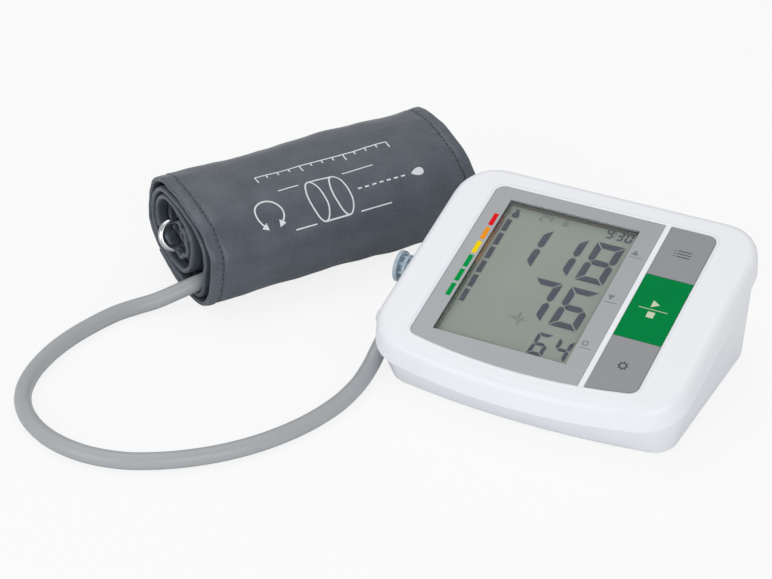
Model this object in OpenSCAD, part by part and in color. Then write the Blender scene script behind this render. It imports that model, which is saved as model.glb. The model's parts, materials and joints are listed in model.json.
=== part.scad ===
// Upper-arm blood pressure monitor: a wedge-shaped housing with a display and three keys, an air hose
// with its plug, and a rolled arm cuff. Millimetres. X runs to the right, Y to the back, Z up. The
// origin is on the housing's flat underside, below the face panel, foot_proud above the surface.

/* [Housing] */
// Overall width at the lip
body_w = 149; // [146:1:179]
// How far the housing's middle lies to the right of the origin
body_x = 1; // [0:0.5:1.5]
// From the origin back to the rear lip
body_rear = 51; // [50:1:62]
// From the origin forward to the middle of the front lip
body_front = 68; // [66:1:84]
// Height of the sloping face above the origin
face_h = 48.2; // [46:0.2:58]
// Slope of the face, degrees
face_tilt = 17; // [14:0.5:20]
// Wall of both shells
wall = 2.2; // [1.8:0.1:2.7]
// Floor of the lower shell, which holds the cover's grooves
floor_t = 3; // [2.8:0.1:3.6]
// Radius of the rounded lip
lip_r = 3.8; // [3:0.2:5]
// Height of the band between the face and the seam
band_h = 10.6; // [9.6:0.2:12]
// How far the band flares out from the face to the seam
band_flare = 0.5; // [0.2:0.1:1]
// Wall of the upper shell at the seam
lip_wall = 1.4; // [1.2:0.1:1.4]
// How far the lower shell stands in from the lip at the seam
seam_step = 1.7; // [1.7:0.1:2.2]

/* [Base] */
// How far the underside stands in from the lip at each side
base_in = 6; // [5:0.5:8]
// From the origin back to the rear of the underside
base_rear = 49; // [46:1:50]
// From the origin forward to the front of the underside
base_front = 55; // [53:1:60]
// Radius of the underside's edge
base_r = 3; // [2:0.5:4]
// Diameter of a rubber foot
foot_d = 10; // [8:0.5:12]
// How far a foot stands out below the underside
foot_proud = 0.8; // [0.6:0.1:1.2]

/* [Face panel] */
// Left edge of the display surround
panel_left = 53.7; // [50:0.1:58]
// Right edge of the key strip
panel_right = 54.8; // [52:0.1:58]
// Rear edge of the panel, along the face
panel_rear = 41.2; // [38:0.1:44]
// Front edge of the panel at its middle, along the face
panel_front = 61.9; // [58:0.1:65]
// Right edge of the display surround
surround_right = 29.5; // [27:0.1:30]
// Left edge of the key strip
keys_left = 32.1; // [31.5:0.1:34]
// Thickness of the display surround
surround_t = 1.5; // [1.3:0.1:1.6]
// Thickness of the clear window
window_t = 0.9; // [0.7:0.05:1]
// Visible display: left, right, rear and front edges on the face
view_left = 44.2; // [42:0.1:46]
view_right = 19.7; // [18:0.1:21]
view_rear = 34; // [32:0.1:36]
view_front = 50.3; // [48:0.1:52]
// Thickness of the display glass
lcd_t = 2.8; // [2.2:0.1:3]

/* [Keys] */
// Rear and front edges of the middle key, along the face
start_rear = 10.5; // [8:0.1:13]
start_front = 27.9; // [25:0.1:30]
// Travel of a key
key_travel = 0.6; // [0.4:0.05:0.8]
// How far a key stands out of the face
key_proud = 0.3; // [0.2:0.1:0.8]
// Gap round a key
key_gap = 0.2; // [0.15:0.05:0.3]

/* [Battery bay] */
// Diameter of a cell
cell_d = 14.2; // [13:0.1:14.5]
// Length of a cell without its button
cell_l = 49.2; // [47:0.1:50]
// Distance between neighbouring cells
cell_pitch = 15.2; // [15.1:0.1:15.6]
// Thickness of the battery cover
cover_t = 2.4; // [2:0.1:2.5]
// How far the cover slides before it is free
cover_travel = 14; // [10:1:16]

/* [Air system] */
// Diameter of the pump head
pump_d = 24; // [22:0.5:25]
// Diameter of the pump motor
motor_d = 20.4; // [18:0.2:21]
// Outer diameter of the inner air tubes
tube_d = 5; // [4.5:0.1:5.4]
// Diameter of the nipples that the tubes are pushed on
nipple_d = 2.8; // [2.4:0.1:3]
// Diameter of the air plug's nozzle
nozzle_d = 6.5; // [6:0.1:7]
// Place of the air socket along the left side, and its height
socket_y = 4;
socket_z = 25.7;
// Diameter of the plug's outer grip disc
grip_d = 15; // [13:0.5:17]

/* [Mains jack] */
// Place of the jack along the left side, and its height
jack_y = -36;
jack_z = 19.4;
// Diameter of the jack's barrel bore
jack_bore = 6; // [5.6:0.1:6.4]

/* [Hose] */
// Outer diameter of the hose
hose_d = 7.8; // [7:0.1:8.2]

/* [Cuff] */
// Width of the cuff, which is the length of the roll
cuff_w = 146.8; // [140:1:160]
// Thickness of the cuff cloth with the bladder in it
cuff_t = 2.3; // [2:0.1:2.4]
// Wall of the bladder's sheet pair
bladder_t = 0.8; // [0.6:0.1:0.9]
// Direction of the roll in plan, degrees from +X
cuff_turn = 58;
// Diameter of the ring's wire
wire_d = 3.2; // [2.8:0.1:3.4]
// Distance between the ring's two long wires
ring_gap = 12.7; // [12:0.1:14]
// How far the ring reaches past the cloth at each end
ring_out = 8; // [7:0.5:10]

/* [Hidden] */

$fn = 48;
eps = 0.01;
big = 400;
slack = 0.15;           // clearance between parts that are dropped into each other
slide_gap = 0.3;        // clearance of parts that slide past each other
shaft_gap = 0.05;       // radial clearance of a pin in its bore
floor_z = -foot_proud;  // the surface that everything stands on
half_w = body_w / 2;
lip_left = body_x - half_w;     // the lip's left side
base_w = body_w - 2 * base_in;
seam_h = face_h - band_h;       // the seam runs level with the face
seam_tilt = face_tilt;

// ---------- plan outlines ----------

rear_corner = 19.5;
front_corner = 21;
bow_r = 290;            // radius in plan of the front lip
base_rear_corner = 10;
base_front_corner = 11;
base_bow_r = 350;
panel_bow_r = 255;      // radius of the panel's front edge
panel_corner = 4.5;

function arc(c, r, a0, a1, n) =
    [for (k = [0:n]) c + r * [cos(a0 + (a1 - a0) * k / n), sin(a0 + (a1 - a0) * k / n)]];

// Counter-clockwise outline with rounded corners and a bowed front edge, drawn in by `in`
function bowed(x0, x1, rear, front, bow, rc, fc, in = 0) =
    let (
        mid = (x0 + x1) / 2,
        half = (x1 - x0) / 2,
        centre = [mid, -front + bow],
        dx = half - fc,
        dy = sqrt(pow(bow - fc, 2) - dx * dx),
        a = atan2(dy, dx),
        r_rear = max(rc - in, 0.6),
        r_front = max(fc - in, 0.6),
        rear_in = [half - max(rc, in + 0.6), rear - max(rc, in + 0.6)]
    )
    concat(
        arc(centre + [dx, -dy], r_front, -a, 0, 7),
        arc([mid + rear_in[0], rear_in[1]], r_rear, 0, 90, 7),
        arc([mid - rear_in[0], rear_in[1]], r_rear, 90, 180, 7),
        arc(centre + [-dx, -dy], r_front, 180, 180 + a, 7),
        [for (k = [1:9]) centre + (bow - in) * [cos(180 + a + (180 - 2 * a) * k / 10),
                                                  sin(180 + a + (180 - 2 * a) * k / 10)]]
    );

function lip_outline(in = 0) =
    bowed(lip_left, body_x + half_w, body_rear, body_front, bow_r, rear_corner, front_corner, in);
function base_outline(in = 0) =
    bowed(body_x - base_w / 2, body_x + base_w / 2, base_rear, base_front,
        base_bow_r, base_rear_corner, base_front_corner, in);
function panel_outline(in = 0) =
    bowed(-panel_left, panel_right, panel_rear, panel_front, panel_bow_r, panel_corner, panel_corner, in);

// A thin slice of an outline on a plane that slopes up to the back
module slice(outline, h, tilt) {
    multmatrix([[1, 0, 0, 0], [0, 1, 0, 0], [0, tan(tilt), 1, h], [0, 0, 0, 1]])
        linear_extrude(eps) polygon(outline);
}

// Face frame: X as before, Y up the slope, Z out of the face
module on_face() {
    translate([0, 0, face_h]) rotate([face_tilt, 0, 0]) children();
}

// Frame on the left wall: Z points out of the housing
module out_left(x, y, z) {
    translate([x, y, z]) rotate([0, -90, 0]) children();
}

module bar(x0, x1, y0, y1, z0, z1) {
    translate([x0, y0, z0]) cube([x1 - x0, y1 - y0, z1 - z0]);
}

module rod(d, z0, z1) {
    translate([0, 0, z0]) cylinder(d = d, h = z1 - z0);
}

// ---------- swept tubes ----------

function unit(v) = v / norm(v);
function tangent(p, k) = unit(p[min(k + 1, len(p) - 1)] - p[max(k - 1, 0)]);
function ring(p, k, r, n, ref) =
    let (t = tangent(p, k), side = unit(cross(t, ref)), up = cross(side, t))
    [for (i = [0:n - 1]) p[k] + r * (cos(360 * i / n) * side + sin(360 * i / n) * up)];
function rings(p, r, n, ref) = [for (k = [0:len(p) - 1]) each ring(p, k, r, n, ref)];
function skin(rows, n, from = 0, flip = false) =
    [for (k = [0:rows - 2], i = [0:n - 1])
        let (
            a = from + k * n + i, b = from + k * n + (i + 1) % n,
            c = b + n, d = a + n
        )
        each flip ? [[a, c, b], [a, d, c]] : [[a, b, c], [a, c, d]]];
function washer(outer, inner, n, flip) =
    [for (i = [0:n - 1])
        let (a = outer + i, b = outer + (i + 1) % n, c = inner + (i + 1) % n, d = inner + i)
        each flip ? [[a, c, b], [a, d, c]] : [[a, b, c], [a, c, d]]];

// A round bar along points
module sweep(p, r, n, ref = [0, 0, 1]) {
    rows = len(p);
    last = (rows - 1) * n;
    polyhedron(
        rings(p, r, n, ref),
        concat(
            skin(rows, n),
            [for (i = [1:n - 2]) [0, i + 1, i]],
            [for (i = [1:n - 2]) [last, last + i, last + i + 1]]
        )
    );
}

// A tube with a bore along points
module sweep_tube(p, r, bore_r, n, ref = [0, 0, 1]) {
    rows = len(p);
    inner = rows * n;
    last = (rows - 1) * n;
    polyhedron(
        concat(rings(p, r, n, ref), rings(p, bore_r, n, ref)),
        concat(
            skin(rows, n),
            skin(rows, n, inner, true),
            washer(0, inner, n, true),
            washer(last, inner + last, n, false)
        )
    );
}

// Smooth curve through points, k steps from one to the next
function between(a, b, c, d, t) =
    0.5 * (2 * b + (c - a) * t + (2 * a - 5 * b + 4 * c - d) * t * t + (3 * b - a - 3 * c + d) * t * t * t);
function smooth(p, k) =
    let (n = len(p))
    concat(
        [for (i = [0:n - 2], j = [0:k - 1])
            between(i == 0 ? 2 * p[0] - p[1] : p[i - 1], p[i], p[i + 1],
                i == n - 2 ? 2 * p[n - 1] - p[n - 2] : p[i + 2], j / k)],
        [p[n - 1]]
    );

// ---------- housing ----------

lip_steps = 4;
rim_h = 2.4;            // the lower shell's rim inside the upper shell
rim_taper = 0.06;
function seam_z(y) = seam_h + y * tan(seam_tilt);

module upper_outer() {
    hull() {
        for (k = [0:lip_steps])
            slice(lip_outline(band_flare + lip_r * (1 - sin(90 * k / lip_steps))),
                face_h - eps - lip_r * (1 - cos(90 * k / lip_steps)), face_tilt);
        slice(lip_outline(0), seam_h, seam_tilt);
    }
}

module upper_inner() {
    inner_r = lip_r - wall;
    hull() {
        for (k = [0, 2, 4])
            slice(lip_outline(wall + band_flare + inner_r * (1 - sin(90 * k / 4))),
                face_h - wall - inner_r * (1 - cos(90 * k / 4)), face_tilt);
        for (z = [seam_h - 1, seam_h + rim_h + 0.6]) slice(lip_outline(lip_wall), z, seam_tilt);
    }
}

module lower_outer() {
    hull() {
        slice(lip_outline(seam_step + rim_taper), seam_h + rim_h, seam_tilt);
        slice(lip_outline(seam_step), seam_h - 0.5, seam_tilt);
        for (a = [0, 30, 60, 90])
            slice(base_outline(base_r * (1 - sin(a))), base_r * (1 - cos(a)), 0);
    }
}

module lower_inner() {
    hull() {
        slice(lip_outline(seam_step + wall), seam_h + rim_h + 1, seam_tilt);
        slice(base_outline(wall), floor_t, 0);
    }
}

// Panel seat
seat_depth = surround_t + 0.2;                       // the surround lies 0.2 below the face
ledge_t = 2.3;
ledge_n = -seat_depth - ledge_t;                     // underside of the ledge under the surround
key_skin = 2.4;                                      // shell round the keys

module panel_block(in, z0, z1) {
    translate([0, 0, z0]) linear_extrude(z1 - z0) polygon(panel_outline(in));
}

// The surround's part of the panel and the keys' part
module surround_area(gap, z0, z1) {
    intersection() {
        panel_block(gap, z0, z1);
        bar(-panel_left - 5, surround_right - gap, -panel_front - 5, panel_rear + 5, z0 - 1, z1 + 1);
    }
}
module keys_area(gap, z0, z1) {
    intersection() {
        panel_block(gap, z0, z1);
        bar(keys_left + gap, panel_right + 5, -panel_front - 5, panel_rear + 5, z0 - 1, z1 + 1);
    }
}

// Screw posts: [x, y, height of the joint between the posts]
post_d = 8;
case_posts = [[62.9, 36, 30], [-61, 36, 30], [60.2, -43.2, 20.5], [-56.3, -43.2, 20.5]];
screw_d = 2.9;
screw_l = 8;            // depth of the screw's hole in the upper post
screw_head_d = 5.6;
screw_head_t = 2;
post_web = 2;

// Posts for the circuit board, on the face: [x, v]
board_posts = [[59.5, 20], [59.5, -20], [-56, 20], [-56, -20]];
board_post_d = 5;
board_screw_d = 1.8;
board_top = -11;
board_t = 1.6;

module upper_shell() {
    color("white") difference() {
        union() {
            difference() {
                upper_outer();
                upper_inner();
            }
            intersection() {
                union() {
                    on_face() difference() {
                        panel_block(-2.6, ledge_n, -1);
                        keys_area(-2.7, ledge_n - 1, -key_skin);
                    }
                    on_face() for (p = board_posts)
                        translate([p[0], p[1], 0]) rod(board_post_d, board_top, -1);
                    for (p = case_posts)
                        translate([p[0], p[1], 0]) rod(post_d, p[2], face_h + 20);
                }
                upper_outer();
            }
            // the posts go on below the seam, to those of the lower shell
            for (p = case_posts)
                translate([p[0], p[1], 0]) rod(post_d, p[2], seam_z(p[1]) + post_d / 2);
        }
        on_face() {
            surround_area(0, -seat_depth, 5);
            bar(-view_left - 0.8, view_right + 0.8, -view_front - 0.8, view_rear + 0.8, ledge_n - 1, 1);
            keys_area(0, -key_skin - 4, 5);
            for (p = board_posts) translate([p[0], p[1], 0]) rod(board_screw_d + 2 * shaft_gap, board_top - 1, -4);
        }
        for (p = case_posts)
            translate([p[0], p[1], 0]) rod(screw_d + 2 * shaft_gap, p[2] - 1, p[2] + screw_l);
    }
}

// Battery bay
bay_half = 2 * cell_pitch + 0.8;
bay_front = -15.5;
spring_l = 4.6;
plate_t = 0.4;
cell_nub_l = 1.3;
bay_l = plate_t + cell_nub_l + cell_l + spring_l + plate_t;
bay_rear = bay_front + bay_l;
bay_top = cover_t + 0.4 + cell_d + 0.4;
bay_wall = 1.5;
cell_z = cover_t + 0.4 + cell_d / 2;
cover_half = bay_half + 0.6;
cover_front = bay_front - 1.6;
rail_w = 1.6;
rail_z = [0.9, 1.7];
cover_sunk = 0.2;       // the cover lies this much above the underside

// Pump
pump_x = 46.5;
// clear of the floor, and high enough for its nipple to leave the head in line with the socket
pump_z = max(floor_t + 0.8 + pump_d / 2, socket_z + nipple_d / 2 + 0.7 - pump_d / 2);
pump_head_y = [-2, 14];
motor_l = 29;
cradle_y = [21, 35];    // two ribs that carry the motor's sleeve
cradle_t = 2;
sleeve_t = 1.2;

// Left wall at a height and a place along the side
function wall_x(z, y) =
    let (up = (z - base_r) / (seam_z(y) - base_r))
    body_x - base_w / 2 - (base_in - seam_step) * up;

// Socket and jack
socket_wall = wall_x(socket_z, socket_y);
jack_wall = wall_x(jack_z, jack_y);
socket_rim = 0.8;       // how far the socket stands out of the wall
socket_body_d = 9.4;
socket_hole_d = socket_body_d + 2 * slack;
jack_hole = 9.6;
jack_body = 9;

foot_places = [[52, 32], [-52, 32], [50, -36], [-50, -36]];
foot_seat = 1;
root = floor_t - 0.5;   // what stands on the floor starts inside it

module lower_shell() {
    color("whitesmoke") difference() {
        union() {
            difference() {
                lower_outer();
                lower_inner();
            }
            bar(-bay_half - bay_wall, bay_half + bay_wall, bay_front - bay_wall, bay_rear + bay_wall,
                root, bay_top + bay_wall);
            for (p = case_posts) translate([p[0], p[1], 0]) rod(post_d + 1.4, root, p[2] - 0.2);
            for (y = cradle_y) difference() {
                bar(pump_x - motor_d / 2, pump_x + motor_d / 2, y, y + cradle_t, root, pump_z - 3);
                translate([pump_x, y - 1, pump_z]) rotate([-90, 0, 0])
                    cylinder(d = motor_d + 2 * sleeve_t, h = cradle_t + 2);
            }
        }
        // inside of the bay, down to the cover's seat
        bar(-bay_half, bay_half, bay_front, bay_rear, -1, bay_top);
        // the cover's seat, open to the rear, and the grooves for its rails
        bar(-cover_half - slide_gap, cover_half + slide_gap, cover_front - slide_gap, 60, -1, cover_t + slide_gap);
        bar(-cover_half - rail_w - slide_gap, cover_half + rail_w + slide_gap, cover_front - slide_gap, 60,
            rail_z[0] - slide_gap, rail_z[1] + slide_gap);
        for (p = case_posts) translate([p[0], p[1], 0]) {
            rod(screw_head_d + 0.6, -1, p[2] - 0.2 - post_web);
            rod(screw_d + 0.5, -1, p[2] + 1);
        }
        for (p = foot_places) translate([p[0], p[1], 0]) rod(foot_d + 2 * slack, -1, foot_seat);
        out_left(socket_wall + 6, socket_y, socket_z) cylinder(d = socket_hole_d, h = 12);
        bar(jack_wall - 6, jack_wall + 6, jack_y - jack_hole / 2, jack_y + jack_hole / 2,
            jack_z - jack_hole / 2, jack_z + jack_hole / 2);
    }
}

module rubber_feet() {
    color("dimgray") for (p = foot_places) translate([p[0], p[1], 0]) rod(foot_d, floor_z, foot_seat);
}

module case_screws() {
    color("silver") for (p = case_posts) translate([p[0], p[1], p[2] - 0.2 - post_web]) {
        difference() {
            rod(screw_head_d, -screw_head_t, 0);
            bar(-1.9, 1.9, -0.35, 0.35, -screw_head_t - 1, -screw_head_t + 1);
            bar(-0.35, 0.35, -1.9, 1.9, -screw_head_t - 1, -screw_head_t + 1);
        }
        rod(screw_d, -eps, 0.2 + post_web + screw_l - 0.8);
    }
}

// ---------- display ----------

window_edge = 2.8;

module display_bezel() {
    color("silver") on_face() difference() {
        surround_area(slack, -seat_depth, -0.2);
        bar(-view_left, view_right, -view_front, view_rear, -5, 5);
        bar(-view_left - window_edge, view_right + window_edge, -view_front - window_edge,
            view_rear + window_edge, -5, -seat_depth + window_t + 0.05);
    }
}

module display_window() {
    edge = window_edge - slack;
    color("lightcyan", 0.4) on_face()
        bar(-view_left - edge, view_right + edge, -view_front - edge, view_rear + edge,
            -seat_depth, -seat_depth + window_t);
}

lcd_edge = 4;
lcd_top = ledge_n - 0.2;
lcd_base = lcd_top - lcd_t;

module lcd_area(grow, z0, z1) {
    bar(-view_left - lcd_edge - grow, view_right + lcd_edge + grow, -view_front - lcd_edge - grow,
        view_rear + lcd_edge + grow, z0, z1);
}

module lcd_panel() {
    color("darkseagreen") on_face() lcd_area(0, lcd_base, lcd_top);
}

zebra_w = 2.2;
zebra_v = [view_rear + lcd_edge - 3.4, -view_front - lcd_edge + 1.2];   // lower edges of the two strips

module zebra_slots(grow, z0, z1) {
    for (v = zebra_v) bar(-38 - grow, 14 + grow, v - grow, v + zebra_w + grow, z0, z1);
}

module zebra_strips() {
    color("dimgray") on_face() zebra_slots(0, board_top, lcd_base);
}

module lcd_holder() {
    color("ivory") on_face() difference() {
        lcd_area(2.2, board_top, lcd_top);
        lcd_area(slack, lcd_base, 0);
        bar(-view_left + 2, view_right - 2, -view_front + 4, view_rear - 6, board_top - 1, 0);
        zebra_slots(slack, board_top - 1, 0);
    }
}

// ---------- board ----------

board_x = [-51.6, 54];
board_v = [-55, 42];

module circuit_board() {
    color("darkgreen") on_face() difference() {
        union() {
            bar(board_x[0], board_x[1], board_v[0], board_v[1], board_top - board_t, board_top);
            for (p = board_posts)
                bar(min(p[0] - 3.5, board_x[1] - 2), max(p[0] + 3.5, board_x[0] + 2), p[1] - 6, p[1] + 6,
                    board_top - board_t, board_top);
        }
        for (p = board_posts) translate([p[0], p[1], 0]) rod(board_screw_d + 0.5, board_top - board_t - 1, 0);
    }
}

module board_screws() {
    color("silver") on_face() for (p = board_posts) translate([p[0], p[1], board_top - board_t]) {
        rod(4, -1.4, 0);
        rod(board_screw_d, -eps, 7);
    }
}

module on_board_under(x, v) {
    on_face() translate([x, v, board_top - board_t]) mirror([0, 0, 1]) children();
}

module board_chips() {
    color("black") {
        on_board_under(-12, -6) bar(-7, 7, -7, 7, 0, 1.8);
        on_board_under(14, 4) bar(-2.6, 2.6, -3.2, 3.2, 0, 1.6);
        on_board_under(30, -22) bar(-2.6, 2.6, -3.2, 3.2, 0, 1.6);
        on_board_under(-34, -34) rod(5, 0, 7);
        on_board_under(-26, -34) rod(5, 0, 7);
        on_board_under(6, -20) bar(-4, 4, -1.6, 1.6, 0, 3);
    }
}

module buzzer() {
    color("black") on_board_under(10, -38) difference() {
        rod(14, 0, 4.2);
        rod(2, 3.2, 5);
    }
}

// ---------- keys ----------

key_x = (keys_left + panel_right) / 2;
key_ends = [
    ["memory", start_rear, panel_rear + 5],
    ["start", -start_front, start_rear],
    ["set", -panel_front - 5, -start_front]
];
key_v = [(start_rear + panel_rear) / 2, (start_rear - start_front) / 2, -(start_front + panel_front) / 2];
stem_d = 5;
plunger_d = 3.4;
plunger_top = -6.6;
plunger_l = 3;
switch_h = 3.4;

// Cap, retaining flange under the shell, and stem
module key(k) {
    on_face() {
        intersection() {
            keys_area(key_gap, -key_skin - 0.2, key_proud);
            bar(keys_left, panel_right, key_ends[k][1] + key_gap / 2, key_ends[k][2] - key_gap / 2,
                -key_skin - 1, key_proud + 1);
        }
        intersection() {
            keys_area(-1, -key_skin - 1.2, -key_skin - 0.2);
            bar(keys_left - 1, panel_right + 1, key_ends[k][1] + 0.5, key_ends[k][2] - 0.5,
                -key_skin - 2, 0);
        }
        translate([key_x, key_v[k], 0]) rod(stem_d, plunger_top, -key_skin - 1.2);
    }
}

module memory_key() { color("gray") key(0); }
module start_key() { color("seagreen") key(1); }
module set_key() { color("gray") key(2); }

module plunger(k) {
    on_face() translate([key_x, key_v[k], 0]) rod(plunger_d, plunger_top - plunger_l, plunger_top);
}

module memory_plunger() { color("black") plunger(0); }
module start_plunger() { color("black") plunger(1); }
module set_plunger() { color("black") plunger(2); }

module switch_bodies() {
    color("lightgray") on_face() for (v = key_v) translate([key_x, v, board_top]) difference() {
        bar(-3, 3, -3, 3, 0, switch_h);
        rod(plunger_d + 2 * slack, plunger_top - plunger_l - key_travel - 0.3 - board_top, switch_h + 1);
    }
}

// ---------- battery bay ----------

module battery_cover() {
    color("white") {
        difference() {
            intersection() {
                lower_outer();
                union() {
                    bar(-cover_half, cover_half, cover_front, 60, cover_sunk, cover_t);
                    bar(-cover_half - rail_w, cover_half + rail_w, cover_front, 60, rail_z[0], rail_z[1]);
                }
            }
            // thumb grooves
            for (k = [0:4]) bar(-12, 12, 24 + 2.4 * k, 25 + 2.4 * k, -1, cover_sunk + 0.5);
        }
    }
}

function cell_x(k) = (k - 1.5) * cell_pitch;
function nub_front(k) = k % 2 == 0;

module battery_cells() {
    color("goldenrod") for (k = [0:3])
        translate([cell_x(k), nub_front(k) ? bay_front + plate_t : bay_rear - plate_t, cell_z])
            rotate([nub_front(k) ? -90 : 90, 0, 0]) {
                rod(5.4, 0, cell_nub_l + 0.1);
                rod(cell_d, cell_nub_l, cell_nub_l + cell_l);
            }
}

spring_wire = 0.7;
spring_turns = 3;
spring_ends = 0.5;
function coil(r, l, turns, n) =
    [for (k = [0:turns * n]) [r * cos(360 * k / n), r * sin(360 * k / n), l * k / (turns * n)]];

module battery_springs() {
    seat = plate_t + spring_ends;
    color("silver") for (k = [0:3])
        translate([cell_x(k), nub_front(k) ? bay_rear - seat : bay_front + seat, cell_z])
            rotate([nub_front(k) ? 90 : -90, 0, 0])
                sweep(coil(3.4, spring_l - 2 * spring_ends, spring_turns, 10), spring_wire / 2, 6);
}

module battery_plates() {
    color("silver") for (k = [0:3], y = [bay_front, bay_rear - plate_t])
        bar(cell_x(k) - 5, cell_x(k) + 5, y, y + plate_t, cover_t + 1, bay_top);
}

// ---------- pump, valve and air path ----------

manifold_x = -44;
air_bore_d = 1.4;
air_x = lip_left + 13.5; // end of the socket's bore

module nipple(l) {
    difference() {
        rod(nipple_d, -eps, l);
        rod(air_bore_d, -1, l + 1);
    }
}

module pump_head() {
    color("black") difference() {
        union() {
            translate([pump_x, pump_head_y[0], pump_z]) rotate([-90, 0, 0])
                cylinder(d = pump_d, h = pump_head_y[1] - pump_head_y[0]);
            out_left(pump_x - 6, socket_y, socket_z) cylinder(d = nipple_d, h = 14);
        }
        out_left(pump_x - 7, socket_y, socket_z) cylinder(d = air_bore_d, h = 20);
    }
}

module pump_motor() {
    color("silver") translate([pump_x, pump_head_y[1], pump_z]) rotate([-90, 0, 0]) {
        cylinder(d = motor_d, h = motor_l - 2);
        cylinder(d = 6, h = motor_l - 0.4);
    }
}

module pump_sleeve() {
    color("dimgray") translate([pump_x, cradle_y[0] - 2, pump_z]) rotate([-90, 0, 0]) difference() {
        cylinder(d = motor_d + 2 * sleeve_t - 0.1, h = cradle_y[1] - cradle_y[0] + cradle_t + 4);
        translate([0, 0, -1]) cylinder(d = motor_d + 0.1, h = 40);
    }
}

valve_y = [-8, 16];
valve_z = [floor_t + slack, 17];
manifold_r = 3;
manifold_half = 4;

module release_valve() {
    color("lightgray") {
        bar(manifold_x - 8, manifold_x + 8, valve_y[0], valve_y[1], valve_z[0], valve_z[1]);
        translate([manifold_x, socket_y, valve_z[1]]) nipple(2);
    }
}

module air_manifold() {
    color("ghostwhite") translate([manifold_x, socket_y, socket_z]) difference() {
        union() {
            for (arm = [[[0, 90, 0], 4.5], [[0, -90, 0], 4.5], [[-90, 0, 0], 4.5], [[0, 180, 0], 2]])
                rotate(arm[0]) {
                    rod(2 * manifold_r, -manifold_r + 0.4, manifold_half);
                    rod(nipple_d, 0, manifold_half + arm[1]);
                }
        }
        rotate([0, 90, 0]) rod(air_bore_d, -20, 20);
        rotate([-90, 0, 0]) rod(air_bore_d, 0, 20);
        rotate([0, 180, 0]) rod(air_bore_d, 0, 20);
    }
}

tube_bore = nipple_d + 0.1;
tube_end = manifold_half + 0.3;      // tubes end just off the manifold's body

module straight_tube(l) {
    difference() {
        cylinder(d = tube_d, h = l);
        translate([0, 0, -1]) cylinder(d = tube_bore, h = l + 2);
    }
}

sensor_y = 24;
sensor_h = 4;
function board_under_z(y) = face_h + y * tan(face_tilt) + (board_top - board_t) / cos(face_tilt);

module air_tubes() {
    pump_end = pump_x - 10;
    socket_end = air_x + 2 + 0.3;
    color("seashell") {
        // socket to manifold, pump to manifold, valve to manifold
        out_left(manifold_x - tube_end, socket_y, socket_z) straight_tube(manifold_x - tube_end - socket_end);
        out_left(pump_end, socket_y, socket_z) straight_tube(pump_end - manifold_x - tube_end);
        translate([manifold_x, socket_y, valve_z[1] + 0.3])
            straight_tube(socket_z - tube_end - valve_z[1] - 0.3);
        // manifold to pressure sensor, turning up
        y0 = socket_y + tube_end;
        z1 = board_under_z(sensor_y) - sensor_h - 1.6;
        r = 8;
        sweep_tube(
            concat(
                [[manifold_x, y0, socket_z], [manifold_x, (y0 + sensor_y - r) / 2, socket_z]],
                [for (a = [0:15:90])
                    [manifold_x, sensor_y - r + r * sin(a), socket_z + r * (1 - cos(a))]],
                [[manifold_x, sensor_y, z1]]
            ),
            tube_d / 2, tube_bore / 2 + 0.1, 12, [1, 0, 0]
        );
    }
}

module pressure_sensor() {
    color("whitesmoke") {
        n = board_top - board_t - sensor_h;
        on_face() translate([manifold_x, (sensor_y + n * sin(face_tilt)) / cos(face_tilt), n])
            bar(-4, 4, -5, 5, 0, sensor_h);
        translate([manifold_x, sensor_y, board_under_z(sensor_y) - sensor_h - 4.2]) difference() {
            rod(nipple_d, 0, 5);
            rod(air_bore_d, -1, 3);
        }
    }
}

module air_socket() {
    color("lightslategray") out_left(0, socket_y, socket_z) difference() {
        union() {
            rod(socket_body_d, -air_x - 2, -socket_wall + socket_rim);
            rod(socket_body_d + 3, -air_x - 2, -socket_wall - wall - 0.4);
            rod(nipple_d, -air_x - 7, -air_x);
        }
        rod(nozzle_d + 2 * shaft_gap, -air_x, 100);
        rod(air_bore_d, -air_x - 8, -air_x + 1);
    }
}

// ---------- mains jack ----------

module mains_jack() {
    x = jack_wall;
    color("black") {
        difference() {
            bar(x + 0.9, x + 10, jack_y - jack_body / 2, jack_y + jack_body / 2,
                jack_z - jack_body / 2, jack_z + jack_body / 2);
            out_left(x + 9, jack_y, jack_z) cylinder(d = jack_bore, h = 12);
        }
        out_left(x + 9 + eps, jack_y, jack_z) cylinder(d = 2.1, h = 5);
    }
}

cover_knob_d = 5.6;
cover_knob_x = lip_left - 4.1;
cover_knob_up = 4;      // from the jack's middle up to the pull tab's
cover_plate_d = 9.8;
cover_gap = 0.3;        // from the leaning wall to what lies on it

// Soft cover: a plug in the jack's bore, a plate on the wall and a round pull tab
module jack_cover() {
    x = jack_wall;
    plate_x = wall_x(jack_z + cover_plate_d / 2, jack_y) - cover_gap;
    knob_z = jack_z + cover_knob_up;
    knob_x = wall_x(knob_z + cover_knob_d / 2, jack_y) - cover_gap;
    color("white") {
        out_left(x + 3.4, jack_y, jack_z) cylinder(d = jack_bore - 0.4, h = x + 3.8 - plate_x);
        out_left(plate_x, jack_y, jack_z) cylinder(d = cover_plate_d, h = 1.2);
        out_left(knob_x, jack_y, knob_z) cylinder(d = cover_knob_d, h = knob_x - cover_knob_x);
    }
}

// ---------- wires ----------

module lead(tint, points, apart = [1, 0, 0]) {
    color(tint) for (s = [-0.8, 0.8]) sweep([for (p = points) p + s * unit(apart)], 0.6, 6, apart);
}

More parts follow.
